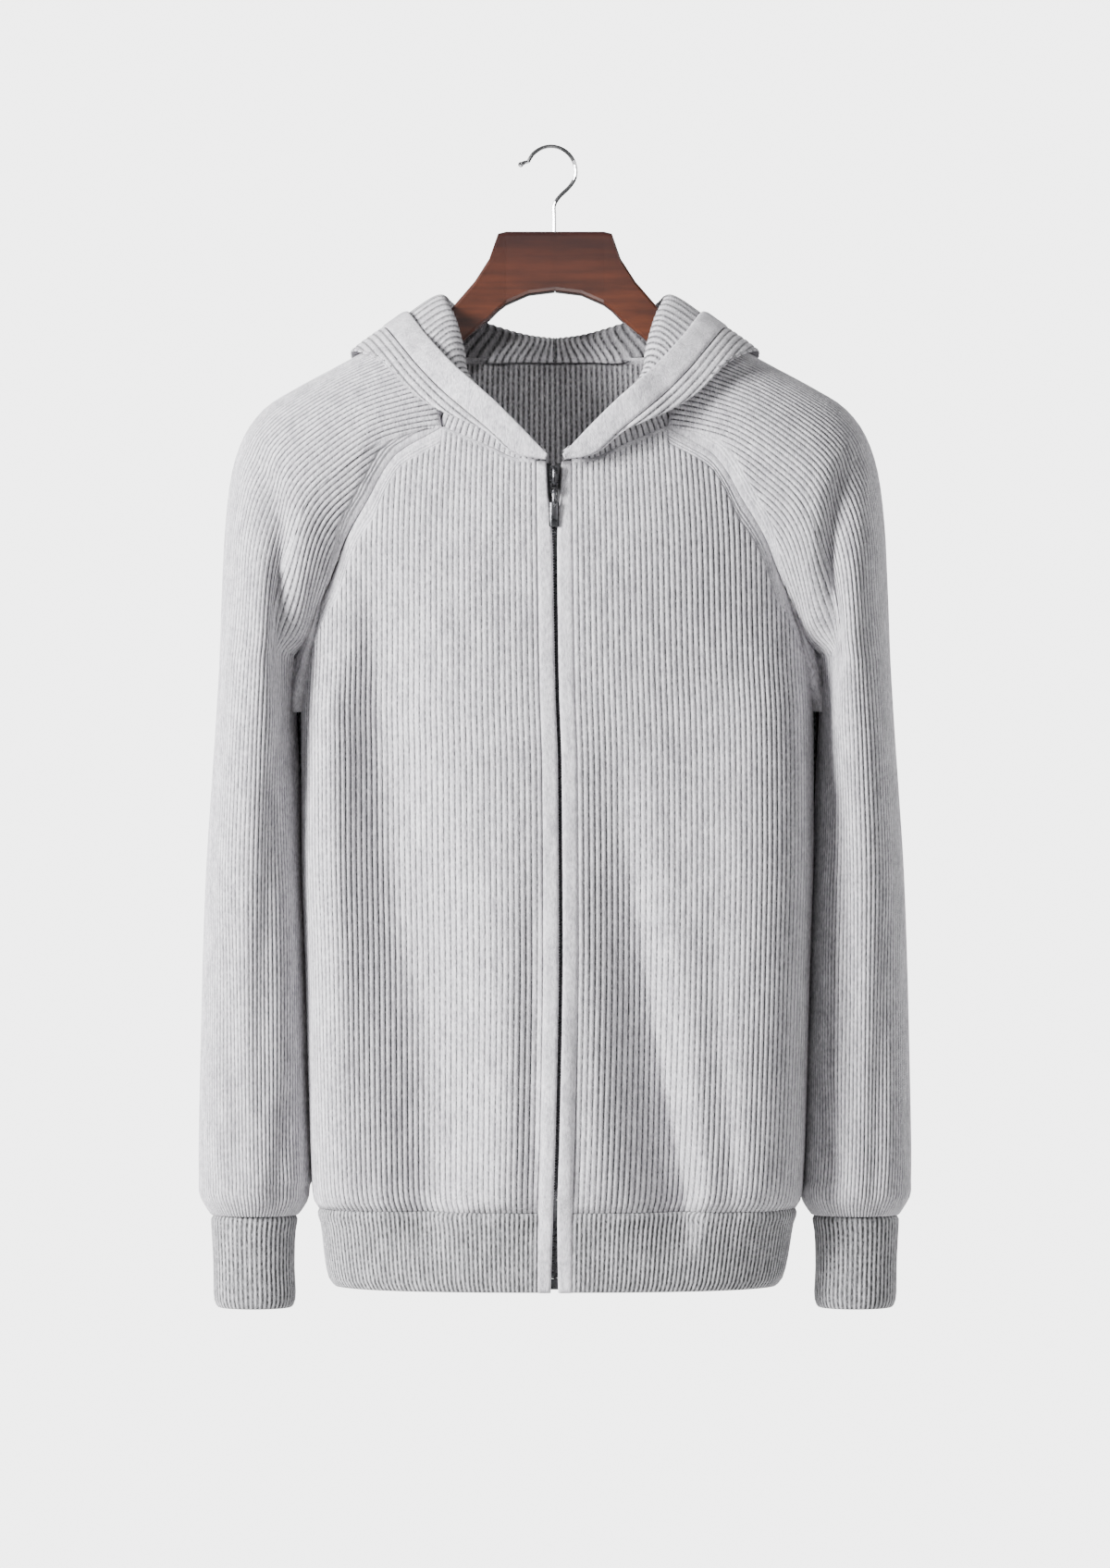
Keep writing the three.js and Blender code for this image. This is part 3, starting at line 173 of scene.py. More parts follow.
def torsoAt(z, run, side, face):  # point at a length along the cloth from the middle
    x, y, length = quarter(z, face)
    px, py = sample(length, run, x, y)
    edge = zipLine["side"](z)
    middle = zipLine["x"](z) if face == "front" else edge
    px = side * px + middle + (edge - middle) * run / length[:, -1]
    depth = py - sunk(creases[face], px, z)
    return np.stack([px, -depth if face == "front" else depth, z], -1)


def quarterRun(z, face):
    return quarter(z, face)[2][:, -1]


panelStart = {"front": bandHalf, "back": 0.0}
raglan = {"front": frontRaglan, "back": backRaglan}


def runAtX(x, z, face):
    qx, _, length = quarter(z, face)
    return sample(qx, x, length)[0]


def seamPoint(z, side, face):
    run = np.where(z <= underarmZ, quarterRun(z, face), runAtX(raglan[face](z), z, face))
    return torsoAt(z, run, side, face)


def topEdge(neck, corner, face):
    x = np.linspace(panelStart[face], corner[0], 14)
    z = neck(x)
    lower = np.linspace(corner[1], underarmZ, 60)[1:]
    runs = np.concatenate([runAtX(x, z, face), runAtX(raglan[face](lower), lower, face)])
    z = np.concatenate([z, lower])
    across = (runs - panelStart[face]) / (quarterRun(z, face) - panelStart[face])
    across[-1] = 1
    return across, z, across[13]


# Meshes: a grid whose points are placed by formulas, with a thickness
def normalsOf(points):
    down = np.gradient(points, axis=0)
    over = np.gradient(points, axis=1)
    normal = np.cross(over, down)
    return normal / np.maximum(np.linalg.norm(normal, axis=2, keepdims=True), 1e-9)


def clothGrid(name, points, height, ribs, along, outward, thickness, plain=None):
    rows, cols = points.shape[:2]
    normal = normalsOf(points)
    r, c = rows // 2, cols // 3
    if np.dot(normal[r, c], points[r, c] - np.array(outward)) < 0:
        points, height, ribs, along = (a[:, ::-1] for a in (points, height, ribs, along))
        plain = None if plain is None else plain[:, ::-1]
        normal = -normal[:, ::-1]
    points = points + normal * height[..., None]
    bpy.ops.mesh.primitive_grid_add(x_subdivisions=cols - 1, y_subdivisions=rows - 1, size=2)
    piece = bpy.context.object
    piece.name = "knit_" + name
    count = len(piece.data.vertices)
    if count != rows * cols:
        raise RuntimeError(f"{name}: {count} points for {rows} x {cols}")
    flat = np.zeros(count * 3)
    piece.data.vertices.foreach_get("co", flat)
    flat = flat.reshape(-1, 3)
    c = np.rint((flat[:, 0] + 1) / 2 * (cols - 1)).astype(int)
    r = np.rint((flat[:, 1] + 1) / 2 * (rows - 1)).astype(int)
    piece.data.vertices.foreach_set("co", (points[r, c] * mm).ravel())
    knit = piece.data.attributes.new("knit", "FLOAT_VECTOR", "POINT")
    bare = np.zeros(count) if plain is None else plain[r, c]
    values = np.stack([ribs[r, c], along[r, c], bare], -1)
    knit.data.foreach_set("vector", values.ravel())
    piece.data.update()
    solid = piece.modifiers.new("thickness", "SOLIDIFY")
    solid.thickness = thickness * mm
    solid.offset = -1
    bpy.ops.object.modifier_apply(modifier="thickness")
    bpy.ops.object.shade_smooth()
    print("made", name, len(piece.data.polygons) * 2)
    return piece


# Flat cuts in metres, of what shows: width, length, area, how it is held and what it hangs from
cuts = {
    "front_left": (0.222, 0.592, 0.117, "hung", ["hanger_left", "sleeve_left"]),
    "front_right": (0.222, 0.592, 0.117, "hung", ["hanger_right", "sleeve_right"]),
    "back": (0.466, 0.65, 0.2645, "hung", ["hanger_left", "hanger_right", "sleeve_left", "sleeve_right"]),
    "sleeve_left": (0.376, 0.76, 0.215, "hung", ["hanger_left"]),
    "sleeve_right": (0.376, 0.76, 0.215, "hung", ["hanger_right"]),
    "hem_rib": (0.85, 0.063, 0.05, "hung", ["front_left", "front_right", "back"]),
    "cuff_left": (0.2, 0.071, 0.013, "hung", ["sleeve_left"]),
    "cuff_right": (0.2, 0.071, 0.013, "hung", ["sleeve_right"]),
    "placket_left": (0.012, 0.626, 0.0073, "hung", ["front_left"]),
    "placket_right": (0.012, 0.626, 0.0073, "hung", ["front_right"]),
    "zip_tape_left": (0.01, 0.623, 0.0062, "hung", ["placket_left"]),
    "zip_tape_right": (0.01, 0.623, 0.0062, "hung", ["placket_right"]),
    "hood_left": (0.3, 0.34, 0.077, "folded", ["front_left", "sleeve_left", "back"]),
    "hood_right": (0.3, 0.34, 0.077, "folded", ["front_right", "sleeve_right", "back"]),
    "hood_band": (0.857, 0.021, 0.0167, "folded", ["hood_left", "hood_right"]),
}


def dress(piece, material, slot, *nodes, body="garment"):
    piece.data.materials.clear()
    piece.data.materials.append(material)
    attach(piece, body)
    if nodes:
        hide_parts(*nodes)
    nodes and nodes[0] in cuts


ribProfile = np.array([0.0, 0.8, 1.0, 0.8])  # one knitted rib, from groove to groove


def ribHeights(phase):
    return np.interp(phase % 1, [0, 0.25, 0.5, 0.75, 1], [*ribProfile, 0])


# Shader nodes: a socket wrapper, so that maths reads as maths
class Wire:
    def __init__(self, tree, socket):
        self.tree = tree
        self.socket = socket

    def node(self, kind, *inputs, settings=(), output=0):
        made = self.tree.nodes.new(kind)
        for key, value in dict(settings).items():
            setattr(made, key, value)
        for key, value in enumerate(inputs):
            if value is None:
                continue
            if isinstance(value, Wire):
                self.tree.links.new(value.socket, made.inputs[key])
            else:
                made.inputs[key].default_value = value
        return Wire(self.tree, made.outputs[output])

    def math(self, operation, *others):
        return self.node("ShaderNodeMath", self, *others, settings={"operation": operation})

    def __add__(self, other):
        return self.math("ADD", other)

    def __sub__(self, other):
        return self.math("SUBTRACT", other)

    def __mul__(self, other):
        return self.math("MULTIPLY", other)

    def part(self, index):
        return self.node("ShaderNodeSeparateXYZ", self, output=index)

    def clamp(self, low, high, toLow=0.0, toHigh=1.0):
        return self.node("ShaderNodeMapRange", self, low, high, toLow, toHigh)

    def colours(self, first, second):  # first colour at 0, second at 1
        made = self.tree.nodes.new("ShaderNodeMix")
        made.data_type = "RGBA"
        self.tree.links.new(self.socket, made.inputs[0])
        for slot, value in ((6, first), (7, second)):
            if isinstance(value, Wire):
                self.tree.links.new(value.socket, made.inputs[slot])
            else:
                made.inputs[slot].default_value = (*value, 1)
        return Wire(self.tree, made.outputs[2])

    def noise(self, scale, detail=3.0, rough=0.6):
        return self.node("ShaderNodeTexNoise", self, None, scale, detail, rough)

    def scaled(self, x, y, z):
        return self.node("ShaderNodeVectorMath", self, (x, y, z), settings={"operation": "MULTIPLY"})


def newMaterial(name, **constants):
    material = bpy.data.materials.new(name)
    material.use_nodes = True
    tree = material.node_tree
    shader = tree.nodes["Principled BSDF"]
    for key, value in constants.items():
        shader.inputs[key.replace("_", " ")].default_value = value
    start = Wire(tree, None)
    coordinates = start.node("ShaderNodeTexCoord", output=3)
    return material, tree, shader, start, coordinates


def join(tree, wire, shader, name):
    tree.links.new(wire.socket, shader.inputs[name])


def addBump(tree, shader, height, strength, distance):
    made = tree.nodes.new("ShaderNodeBump")
    made.inputs["Strength"].default_value = strength
    made.inputs["Distance"].default_value = distance
    tree.links.new(height.socket, made.inputs["Height"])
    tree.links.new(made.outputs[0], shader.inputs["Normal"])


# Yarn colours, how dark and wide the painted shade in the rib valleys is, and the stitch's height in
# millimetres
knitLook = {
    "light": (0.66, 0.645, 0.675), "dark": (0.30, 0.29, 0.315),
    "groove": 0.14, "cut": (0.24, 0.44), "stitch": 1.9,
}
# Painted shade: the trim's yarn colours are darker than the rib knit's, standing in for the shade in the
# hem's and cuffs' folds, and its rib valleys get wider painted shade
shadedTrimLook = knitLook | {
    "light": (0.55, 0.54, 0.565), "dark": (0.22, 0.22, 0.23), "cut": (0.1, 0.34), "stitch": 1.7,
}


def knitMaterial(name, look, shadedGrooves=True):
    wool = {"Roughness": 0.92, "Sheen_Weight": 0.25, "Sheen_Roughness": 0.6}
    material, tree, shader, start, place = newMaterial(name, **wool)
    shader.inputs["Specular IOR Level"].default_value = 0.15
    knit = start.node("ShaderNodeAttribute", settings={"attribute_name": "knit"}, output=1)
    rib, along, bare = knit.part(0), knit.part(1), knit.part(2)
    over = (rib.math("FRACT") - 0.5).math("ABSOLUTE")
    fibre = place.scaled(900, 900, 260).noise(1.0, 2.0)
    cloud = place.scaled(120, 120, 40).noise(1.0, 3.0)
    melange = (fibre * 0.75 + cloud * 0.45).clamp(0.44, 0.76)
    colour = melange.colours(look["dark"], look["light"])
    if shadedGrooves:
        # Painted shade: the valleys between the ribs are darkened in the base colour, towards a far darker
        # copy of the dark yarn, broken up by noise
        broken = place.scaled(700, 700, 330).noise(1.0, 1.0).clamp(0.3, 0.6, 0.55, 1.0)
        deep = over.clamp(*look["cut"]) * bare.clamp(0, 1, 1, 0) * broken
        colour = deep.colours(colour, tuple(v * look["groove"] for v in look["dark"]))
    join(tree, colour, shader, "Base Color")
    stitch = (along * (1 / look["stitch"]) + over * 1.4).math("FRACT").math("PINGPONG", 0.5)
    fuzz = place.scaled(1500, 1500, 1500).noise(1.0, 3.0)
    addBump(tree, shader, stitch * 0.8 + fuzz * 0.6 + fibre * 0.4, 0.55, 0.0008)
    return material


knit = knitMaterial("rib_knit", knitLook)
shadedTrimKnit = knitMaterial("trim_knit_painted_shade", shadedTrimLook)
plainKnit = knitMaterial("plain_knit", knitLook | {"stitch": 1.6}, shadedGrooves=False)

lacquer = {"Roughness": 0.3, "Coat_Weight": 0.9, "Coat_Roughness": 0.05}
wood, tree, shader, start, place = newMaterial("lacquered_wood", **lacquer)
grain = place.scaled(14, 60, 90).noise(1.0, 6.0, 0.65)
streaks = place.scaled(5, 40, 160).noise(1.0, 4.0)
figure = (grain * 0.7 + streaks * 0.5).clamp(0.4, 0.85)
# Painted shade: both wood colours are darker towards the top of the hanger, set by height
low = place.part(2).clamp(-0.15, -0.066)
dark = low.colours((0.02, 0.0045, 0.0025), (0.008, 0.0028, 0.003))
pale = low.colours((0.12, 0.03, 0.009), (0.035, 0.009, 0.006))
join(tree, figure.colours(dark, pale), shader, "Base Color")
addBump(tree, shader, grain, 0.04, 0.0003)

steel, tree, shader, start, place = newMaterial("polished_steel", Metallic=1.0, Roughness=0.14)
shine = place.scaled(60, 60, 60).noise(1.0).colours((0.62, 0.62, 0.63), (0.74, 0.74, 0.75))
join(tree, shine, shader, "Base Color")

gunmetal, tree, shader, start, place = newMaterial("gunmetal", Metallic=1.0, Roughness=0.28)
tone = place.scaled(300, 300, 300).noise(1.0)
join(tree, tone.colours((0.07, 0.07, 0.075), (0.16, 0.16, 0.17)), shader, "Base Color")
join(tree, tone.clamp(0.3, 0.7, 0.22, 0.36), shader, "Roughness")

blackTape, tree, shader, start, place = newMaterial("black_tape", Roughness=0.85)
weave = (place.part(2) * 2600).math("SINE") * (place.part(0) * 2600).math("SINE")
join(tree, weave.clamp(-1, 1).colours((0.006, 0.006, 0.007), (0.03, 0.03, 0.032)), shader, "Base Color")
addBump(tree, shader, weave, 0.4, 0.0002)

# Torso panels: each column follows one rib from the top edge down to the hem seam
ribPitch, ribHeight = 4.35, 1.1
seamRows = np.array([-2.4, 0, 0.8, 2.2, 4, 4.7, 5.2, 5.7, 6.4, 7, 7.5, 8, 8.7, 9.3, 9.8, 10.3, 11.2, 13])


def steepest(share):
    return 4 + (1 - 4) * fade(share, 0.84, 0.9)


def ribsFrom(distance, open_):  # the ribs begin beyond the raglan's double ridge, or at a neck seam
    return fade(distance, 9.9, 10.6) * open_ + fade(distance, 0.6, 2.5) * (1 - open_)


def seamRelief(distance, open_, ribs):  # two ridges along the raglan, plain cloth between them and the seam
    furrows = sum(bump(distance, middle, 0.7) for middle in (5.2, 7.5, 9.8)) * open_
    raised = (bump(distance, 6.4, 1) + bump(distance, 8.7, 1)) * open_
    edge = 0.4 * np.exp(-np.maximum(distance, 0) / 0.8) + 1.6 * (distance < -1)
    return 0.5 * raised - 0.9 * furrows + ribs * ribsFrom(distance, open_) - edge


def torsoPanel(name, neck, corner, face, acrossOf, side, ribs, rowCount, material):
    edgeAcross, edgeZ, cornerAcross = topEdge(neck, corner, face)
    across = np.abs(acrossOf)
    top = np.interp(across, edgeAcross, edgeZ)
    nudge = 0.004
    run = quarterRun(top, face)
    low, high = np.maximum(across - nudge, 0), np.minimum(across + nudge, 1)
    slope = (np.interp(high, edgeAcross, edgeZ) - np.interp(low, edgeAcross, edgeZ)) / (2 * nudge * run)
    stretch = np.minimum(np.hypot(1, slope), steepest(across))
    near = top[None] - seamRows[:, None] * stretch[None]
    share = np.linspace(0, 1, rowCount)[1:, None]
    rest = near[-1][None] * (1 - share) + hemSeamZ * share
    z = np.concatenate([near, rest])
    wide = np.broadcast_to(across, z.shape).ravel()
    points = np.zeros((z.size, 3))
    begin = panelStart[face]
    for way in (-1, 1):
        own = np.broadcast_to(side == way, z.shape).ravel()
        zs = z.ravel()[own]
        length = begin + (quarterRun(zs, face) - begin) * wide[own]
        points[own] = torsoAt(zs, length, way, face)
    points = points.reshape(*z.shape, 3)
    distance = (top[None] - z) / stretch[None]
    open_ = fade(across, cornerAcross - 0.01, cornerAcross + 0.01)[None] * np.ones_like(z)
    height = seamRelief(distance, open_, ribHeights(ribs)[None] * ribHeight)
    height -= 0.9 * np.exp((hemSeamZ - z) / 1.2)
    bare = 1 - ribsFrom(distance, open_)
    if face == "front":
        beside = across * (260 - begin)
        height -= 0.9 * np.exp(-beside / 1.0)[None]
    made = clothGrid(name, points, height, np.broadcast_to(ribs, z.shape), z, (0, 0, -500), 1.8, bare)
    dress(made, material, "knit", name)


frontRun = quarterRun(np.array([-520.0]), "front")[0] - bandHalf
frontRibs = round(frontRun / ribPitch)
frontAcross = np.linspace(0, 1, frontRibs * 4 + 1)
for way, name in ((-1, "front_left"), (1, "front_right")):
    frontSide = np.full(len(frontAcross), way)
    torsoPanel(
        name, frontNeck, (84.4, -215.3), "front", frontAcross, frontSide, frontAcross * frontRibs, 76, knit)
backRun = quarterRun(np.array([-520.0]), "back")[0]
backRibs = round(backRun / ribPitch)
half = np.linspace(0, 1, backRibs * 4 + 1)
backAcross = np.concatenate([-half[:0:-1], half])
backSide = np.where(backAcross < 0, -1, 1)
torsoPanel("back", backNeck, (76, -158), "back", backAcross, backSide, backAcross * backRibs, 74, knit)

# Hem rib, one strip from band to band
hemPitch = 3.5
z = np.array([-820.0])
frontLength, backLength = quarterRun(z, "front")[0] - bandHalf, quarterRun(z, "back")[0]
total = 2 * (frontLength + backLength)
hemRibs = round(total / hemPitch)
way = np.linspace(0, total, hemRibs * 4 + 1)
hemRows = np.array([-804, -805, -807, -810, -816, -823, -832, -841, -850, -857, -861, -863, -864.0])
zs = np.repeat(hemRows, len(way))
places = np.tile(way, len(hemRows))
points = np.zeros((len(zs), 3))
for face, side, start, length in (("front", -1, 0, frontLength), ("back", -1, frontLength, backLength),
                                  ("back", 1, frontLength + backLength, backLength),
                                  ("front", 1, frontLength + 2 * backLength, frontLength)):
    own = (places >= start - 1e-6) & (places <= start + length + 1e-6)
    share = (places[own] - start) / length
    if (face, side) in (("back", -1), ("front", 1)):
        share = 1 - share
    begin = panelStart[face]
    runs = begin + (quarterRun(zs[own], face) - begin) * np.clip(share, 0, 1)
    points[own] = torsoAt(zs[own], runs, side, face)
points = points.reshape(len(hemRows), len(way), 3)
depth = hemRows[:, None]
height = ribHeights(way / total * hemRibs)[None] * fade(-depth, 804.5, 808) * fade(depth, -864.4, -862.5)
height = height - 1.2 * np.exp((depth + 804) / 1.2) - 0.9 * np.exp((-864 - depth) / 0.8)
height = height + 1.2 * bump(depth, -809, 5)
ribs = np.broadcast_to(way / total * hemRibs, height.shape)
hem = clothGrid("hem_rib", points, height, ribs, np.broadcast_to(depth, height.shape), (0, 0, -840), 2.0)
dress(hem, shadedTrimKnit, "knit", "hem_rib")

# Sleeves: rings of two half ovals that share the outer ridge
capRings = [
    (99, -131, -215.3, -158, 62.5, 0.62), (135, -150.5, -224, -178, 65, 0.66),
    (165, -166.8, -236, -200, 67.5, 0.705), (196, -183.5, -254, -227, 70, 0.755),
    (219, -198, -276, -254, 72, 0.805), (235, -219, -300, -284, 74, 0.855),
    (244.5, -248, -324, -314, 75.5, 0.9), (249.5, -290, -348, -343, 76.5, 0.94),
    (252, -338, -369, -367, 77, 0.972), (253.5, -386, -386, -386, 77, 1),
]
armRings = [
    (-436, 256.5, 75, 3), (-485, 260, 71, 5), (-555, 264.5, 66, 6), (-625, 267, 60, 6), (-695, 268.7, 54, 6),
    (-764, 270, 49, 6), (-788, 269.6, 46, 6), (-800, 265.5, 41, 6), (-810.5, 261.2, 33, 6),
]
capEnd, sleeveEnd = 9, 18
ringRows = [(s, *row, 0) for s, row in enumerate(capRings)]
ringRows += [(capEnd + 1 + i, x, z, z, z, depth, 1, back) for i, (z, x, depth, back) in enumerate(armRings)]
ring = columns("s outX outZ frontZ backZ depth seamShare back", ringRows, "s")
wristX = pchip([-788, -800, -810.5], [187.6, 190.8, 195.6])
sleeveCreases = {
    "front": [
        [(-226, 225, 0, 10, 9), (-262, 214, 8, 10, 10), (-305, 205, 14, 9, 13), (-345, 201, 15, 7, 15),
         (-384, 199, 12, 7, 14), (-425, 199, 7, 7, 12), (-500, 202, 3, 7, 12), (-560, 203, 0, 7, 12)],
        [(-300, 238, 0, 10, 10), (-350, 234, 2.5, 12, 10), (-420, 228, 3, 12, 10), (-520, 226, 0, 12, 12)],
        [(-440, 210, 0, 8, 9), (-520, 213, 3.5, 8, 10), (-620, 218, 4, 8, 10), (-720, 222, 2, 8, 9),
         (-780, 225, 0, 9, 9)],
        [(-560, 248, 0, 8, 8), (-640, 245, 2.4, 9, 8), (-730, 241, 3.2, 9, 7), (-790, 239, 2.2, 8, 7),
         (-808, 238, 0, 8, 8)],
        [(-700, 203, 0, 6, 7), (-750, 205, 2.6, 6, 8), (-795, 210, 3.2, 6, 8), (-810, 211, 0, 7, 7)],
    ],
    "back": [
        [(-270, 214, 0, 10, 10), (-310, 204, 5, 10, 11), (-350, 197, 4, 9, 11), (-390, 194, 0, 9, 10)],
        [(-420, 222, 0, 12, 12), (-520, 226, 4, 12, 10), (-650, 230, 3.4, 12, 10), (-760, 232, 0, 11, 11)],
        [(-600, 212, 0, 8, 8), (-690, 214, 3, 9, 8), (-780, 216, 2.6, 9, 8), (-808, 217, 0, 8, 8)],
        [(-640, 250, 0, 8, 8), (-720, 248, 2.6, 8, 7), (-800, 246, 2.2, 8, 7), (-810, 245, 0, 8, 8)],
    ],
}
armCreases = {face: creasePaths(paths) for face, paths in sleeveCreases.items()}


def besideBody(points, side):
    moved = points.copy()
    moved[:, 0] += side * 1.8 * fade(-points[:, 2], 350, 420)
    return moved


def sleeveSeam(s, side, face):
    z = ring["frontZ" if face == "front" else "backZ"](s)
    cap = besideBody(seamPoint(z, side, face), side)
    beside = torsoAt(z, quarterRun(z, "front"), side, "front")
    beside[:, 1] = 0
    beside = besideBody(beside, side)
    beside[:, 0] = np.where(z < -788, side * wristX(z), beside[:, 0])
    return np.where((s <= capEnd)[:, None], cap, beside)


def halfRing(s, side, face):
    out, depth, back = ring["outX"](s), ring["depth"](s), ring["back"](s)
    ridge = np.stack([side * out, np.zeros_like(s), ring["outZ"](s)], -1)
    seam = sleeveSeam(s, side, face)
    cut = np.pi - np.arcsin(np.minimum(1, np.abs(seam[:, 1]) / depth))
    angle = cut[:, None] * np.linspace(0, 1, 61)
    part = (1 - np.cos(angle)) / (1 - np.cos(cut))[:, None]
    x = ridge[:, 0:1] + (seam[:, 0:1] - ridge[:, 0:1]) * part
    z = ridge[:, 2:3] + (seam[:, 2:3] - ridge[:, 2:3]) * part
    y = (-1 if face == "front" else 1) * depth[:, None] * np.sin(angle) + back[:, None]
    step = np.sqrt(np.diff(x) ** 2 + np.diff(y) ** 2 + np.diff(z) ** 2)
    run = np.concatenate([np.zeros((len(s), 1)), np.cumsum(step, axis=1)], axis=1)
    return x, y, z, run


heightDense = np.linspace(capEnd, sleeveEnd, 400)
capDense = np.linspace(0, capEnd, 900)
fullRun, ribsAtSeam = {}, {}
for face in ("front", "back"):
    keys = np.array([0, 1, 2, 3, 4, 5, 9, 9.5, *range(10, 19)], float)
    fullRun[face] = pchip(keys, halfRing(keys, 1, face)[3][:, -1] / ring["seamShare"](keys))
    reached = halfRing(capDense, 1, face)[3][:, -1] / fullRun[face](capDense)
    ribsAtSeam[face] = np.maximum.accumulate(reached)


def sleeveAt(s, share, side, face):  # share of the ribs from the outer ridge, round to the body's side
    x, y, z, run = halfRing(s, side, face)
    return np.stack(sample(run, np.minimum(share * fullRun[face](s), run[:, -1]), x, y, z), -1)


def ribStart(share, face):
    return np.where(share <= ribsAtSeam[face][0], 0, np.interp(share, ribsAtSeam[face], capDense))


def sleeve(name, side):
    halfRibs = 46
    share = np.linspace(0, 1, halfRibs * 4 + 1)
    places = np.concatenate([-share[:0:-1], share])
    share = np.abs(places)
    start, stretch = np.zeros_like(share), np.zeros_like(share)
    for face, own in (("front", places <= 0), ("back", places > 0)):
        q = share[own]
        s = start[own] = ribStart(q, face)
        nudge = 0.05
        a, b = sleeveAt(s + nudge - 0.04, q, side, face), sleeveAt(s + nudge + 0.04, q, side, face)
        pace = np.linalg.norm(b - a, axis=1) / 0.08
        spread = (np.interp(s + nudge, capDense, ribsAtSeam[face]) - q) / nudge * fullRun[face](s)
        slanted = np.minimum(np.hypot(spread, pace) / np.maximum(spread, 1e-3), steepest(q)) / pace
        stretch[own] = np.where(s == 0, 1 / pace, slanted)
    near = start[None] + seamRows[1:, None] * stretch[None]
    steps = np.linspace(0, 1, 31)[1:-1, None]
    cap = near[-1][None] * (1 - steps) + (capEnd + 0.7) * steps
    lowest = [-788, -792, -796, -800, -804, -807, -809, -810, -810.5]
    levels = np.concatenate([np.linspace(-430, -784, 42), lowest])
    level = np.interp(-levels, -ring["outZ"](heightDense), heightDense)
    s = np.concatenate([near, cap, np.repeat(level[:, None], len(share), axis=1)])
    points = np.zeros((*s.shape, 3))
    front = places <= 0
    for face, own in (("front", front), ("back", ~front)):
        block = s[:, own]
        q = np.broadcast_to(share[own], block.shape)
        points[:, own] = sleeveAt(block.ravel(), q.ravel(), side, face).reshape(*block.shape, 3)
    distance = (s - start[None]) / stretch[None]
    open_ = fade(share, 0.6, 0.63)[None] * np.ones_like(s)
    height = seamRelief(distance, open_, ribHeights(share * halfRibs)[None] * ribHeight)
    bare = 1 - ribsFrom(distance, open_)
    z = points[..., 2]
    height -= 1.3 * np.exp((-810.5 - z) / 1.5)
    height += 1.6 * bump(z, -797, 7)
    x = np.abs(points[..., 0])
    for face, own in (("front", front), ("back", ~front)):
        deep = sunk(armCreases[face], x - (2 if side > 0 else 0), z) * fade(distance, 3, 14)
        height -= np.where(own[None], deep, 0)
    steps = np.linalg.norm(np.diff(points, axis=0), axis=2)
    along = np.cumsum(np.concatenate([np.zeros((1, s.shape[1])), steps]), axis=0)
    rib = np.broadcast_to(share * halfRibs, s.shape)
    made = clothGrid(name, points, height, rib, along, (side * 228, 5, -600), 1.8, bare)
    dress(made, knit, "knit", name)


sleeve("sleeve_left", -1)
sleeve("sleeve_right", 1)

# Cuffs
cuff = columns("z outX inX depth", [
    (-810.5, 261, 196, 31), (-828, 260, 198.6, 28), (-850, 259, 199, 27), (-872, 258.8, 198, 27),
    (-881, 256, 200.5, 26),
], "z")
cuffRows = np.array([
    -810.5, -811.5, -813.5, -817, -823, -831, -840, -850, -860, -869, -875, -878.5, -880.3, -881,
])
cuffRibs = 52
turn = np.linspace(0, 1, cuffRibs * 4 + 1)
for side, name in ((-1, "cuff_left"), (1, "cuff_right")):
    z = cuffRows[:, None] * np.ones_like(turn)[None]
    angle = np.pi + turn[None] * 2 * np.pi
    outX, inX = cuff["outX"](z), cuff["inX"](z)
    x = side * ((outX + inX) / 2 + (outX - inX) / 2 * np.cos(angle))
    points = np.stack([x, cuff["depth"](z) * np.sin(angle) + 6, z], -1)
    height = ribHeights(turn * cuffRibs)[None] * fade(-z, 811, 814) * fade(z, -881.4, -879.5)
    height = height - 1.2 * np.exp((z + 810.5) / 1.2) - 0.9 * np.exp((-881 - z) / 0.8)
    ribs = turn[None] * cuffRibs * np.ones_like(z)
    made = clothGrid(name, points, height, ribs, z, (side * 229, 6, -846), 2.0)
    dress(made, shadedTrimKnit, "knit", name)

# Front bands and zip tapes
gapAt = pchip([-241.4, -262, -285, -312, -410, -790, -840, -864], [11, 9.6, 5, 3.2, 2.8, 3, 4.4, 5.6])
bandZ = np.linspace(-241.4, -864, 160)


def strip(name, side, inner, outer, lift, shape, thickness, material, slot, zs):
    t = np.linspace(0, 1, len(shape))
    z = np.repeat(zs, len(t))
    low = inner(z) if callable(inner) else np.full(len(z), inner)
    reach = low + (outer - low) * np.tile(t, len(zs))
    points = torsoAt(z, reach, side, "front").reshape(len(zs), len(t), 3)
    height = lift + np.array(shape)[None] * np.ones((len(zs), 1))
    ends = np.array([-0.5, *np.zeros(len(zs) - 2), -0.5])[:, None]
    across = reach.reshape(height.shape) / 3
    made = clothGrid(name, points, height + ends, across, z.reshape(height.shape), (0, 0, -500), thickness)
    dress(made, material, slot, name)


edgeShape = [-1.3, -0.2, 0, 0, 0, 0, 0, 0, -0.3, -1.2]
tapeZ = np.linspace(-242, -862, 90)


def halfGap(z):
    return gapAt(z) / 2


for side, word in ((-1, "left"), (1, "right")):
    strip("placket_" + word, side, halfGap, 13.2, 0.9, edgeShape, 2.6, plainKnit, "knit", bandZ)
    strip("zip_tape_" + word, side, 2.2, 12.0, -2.9, [0, 0, 0, 0], 0.8, blackTape, "zip_tape", tapeZ)

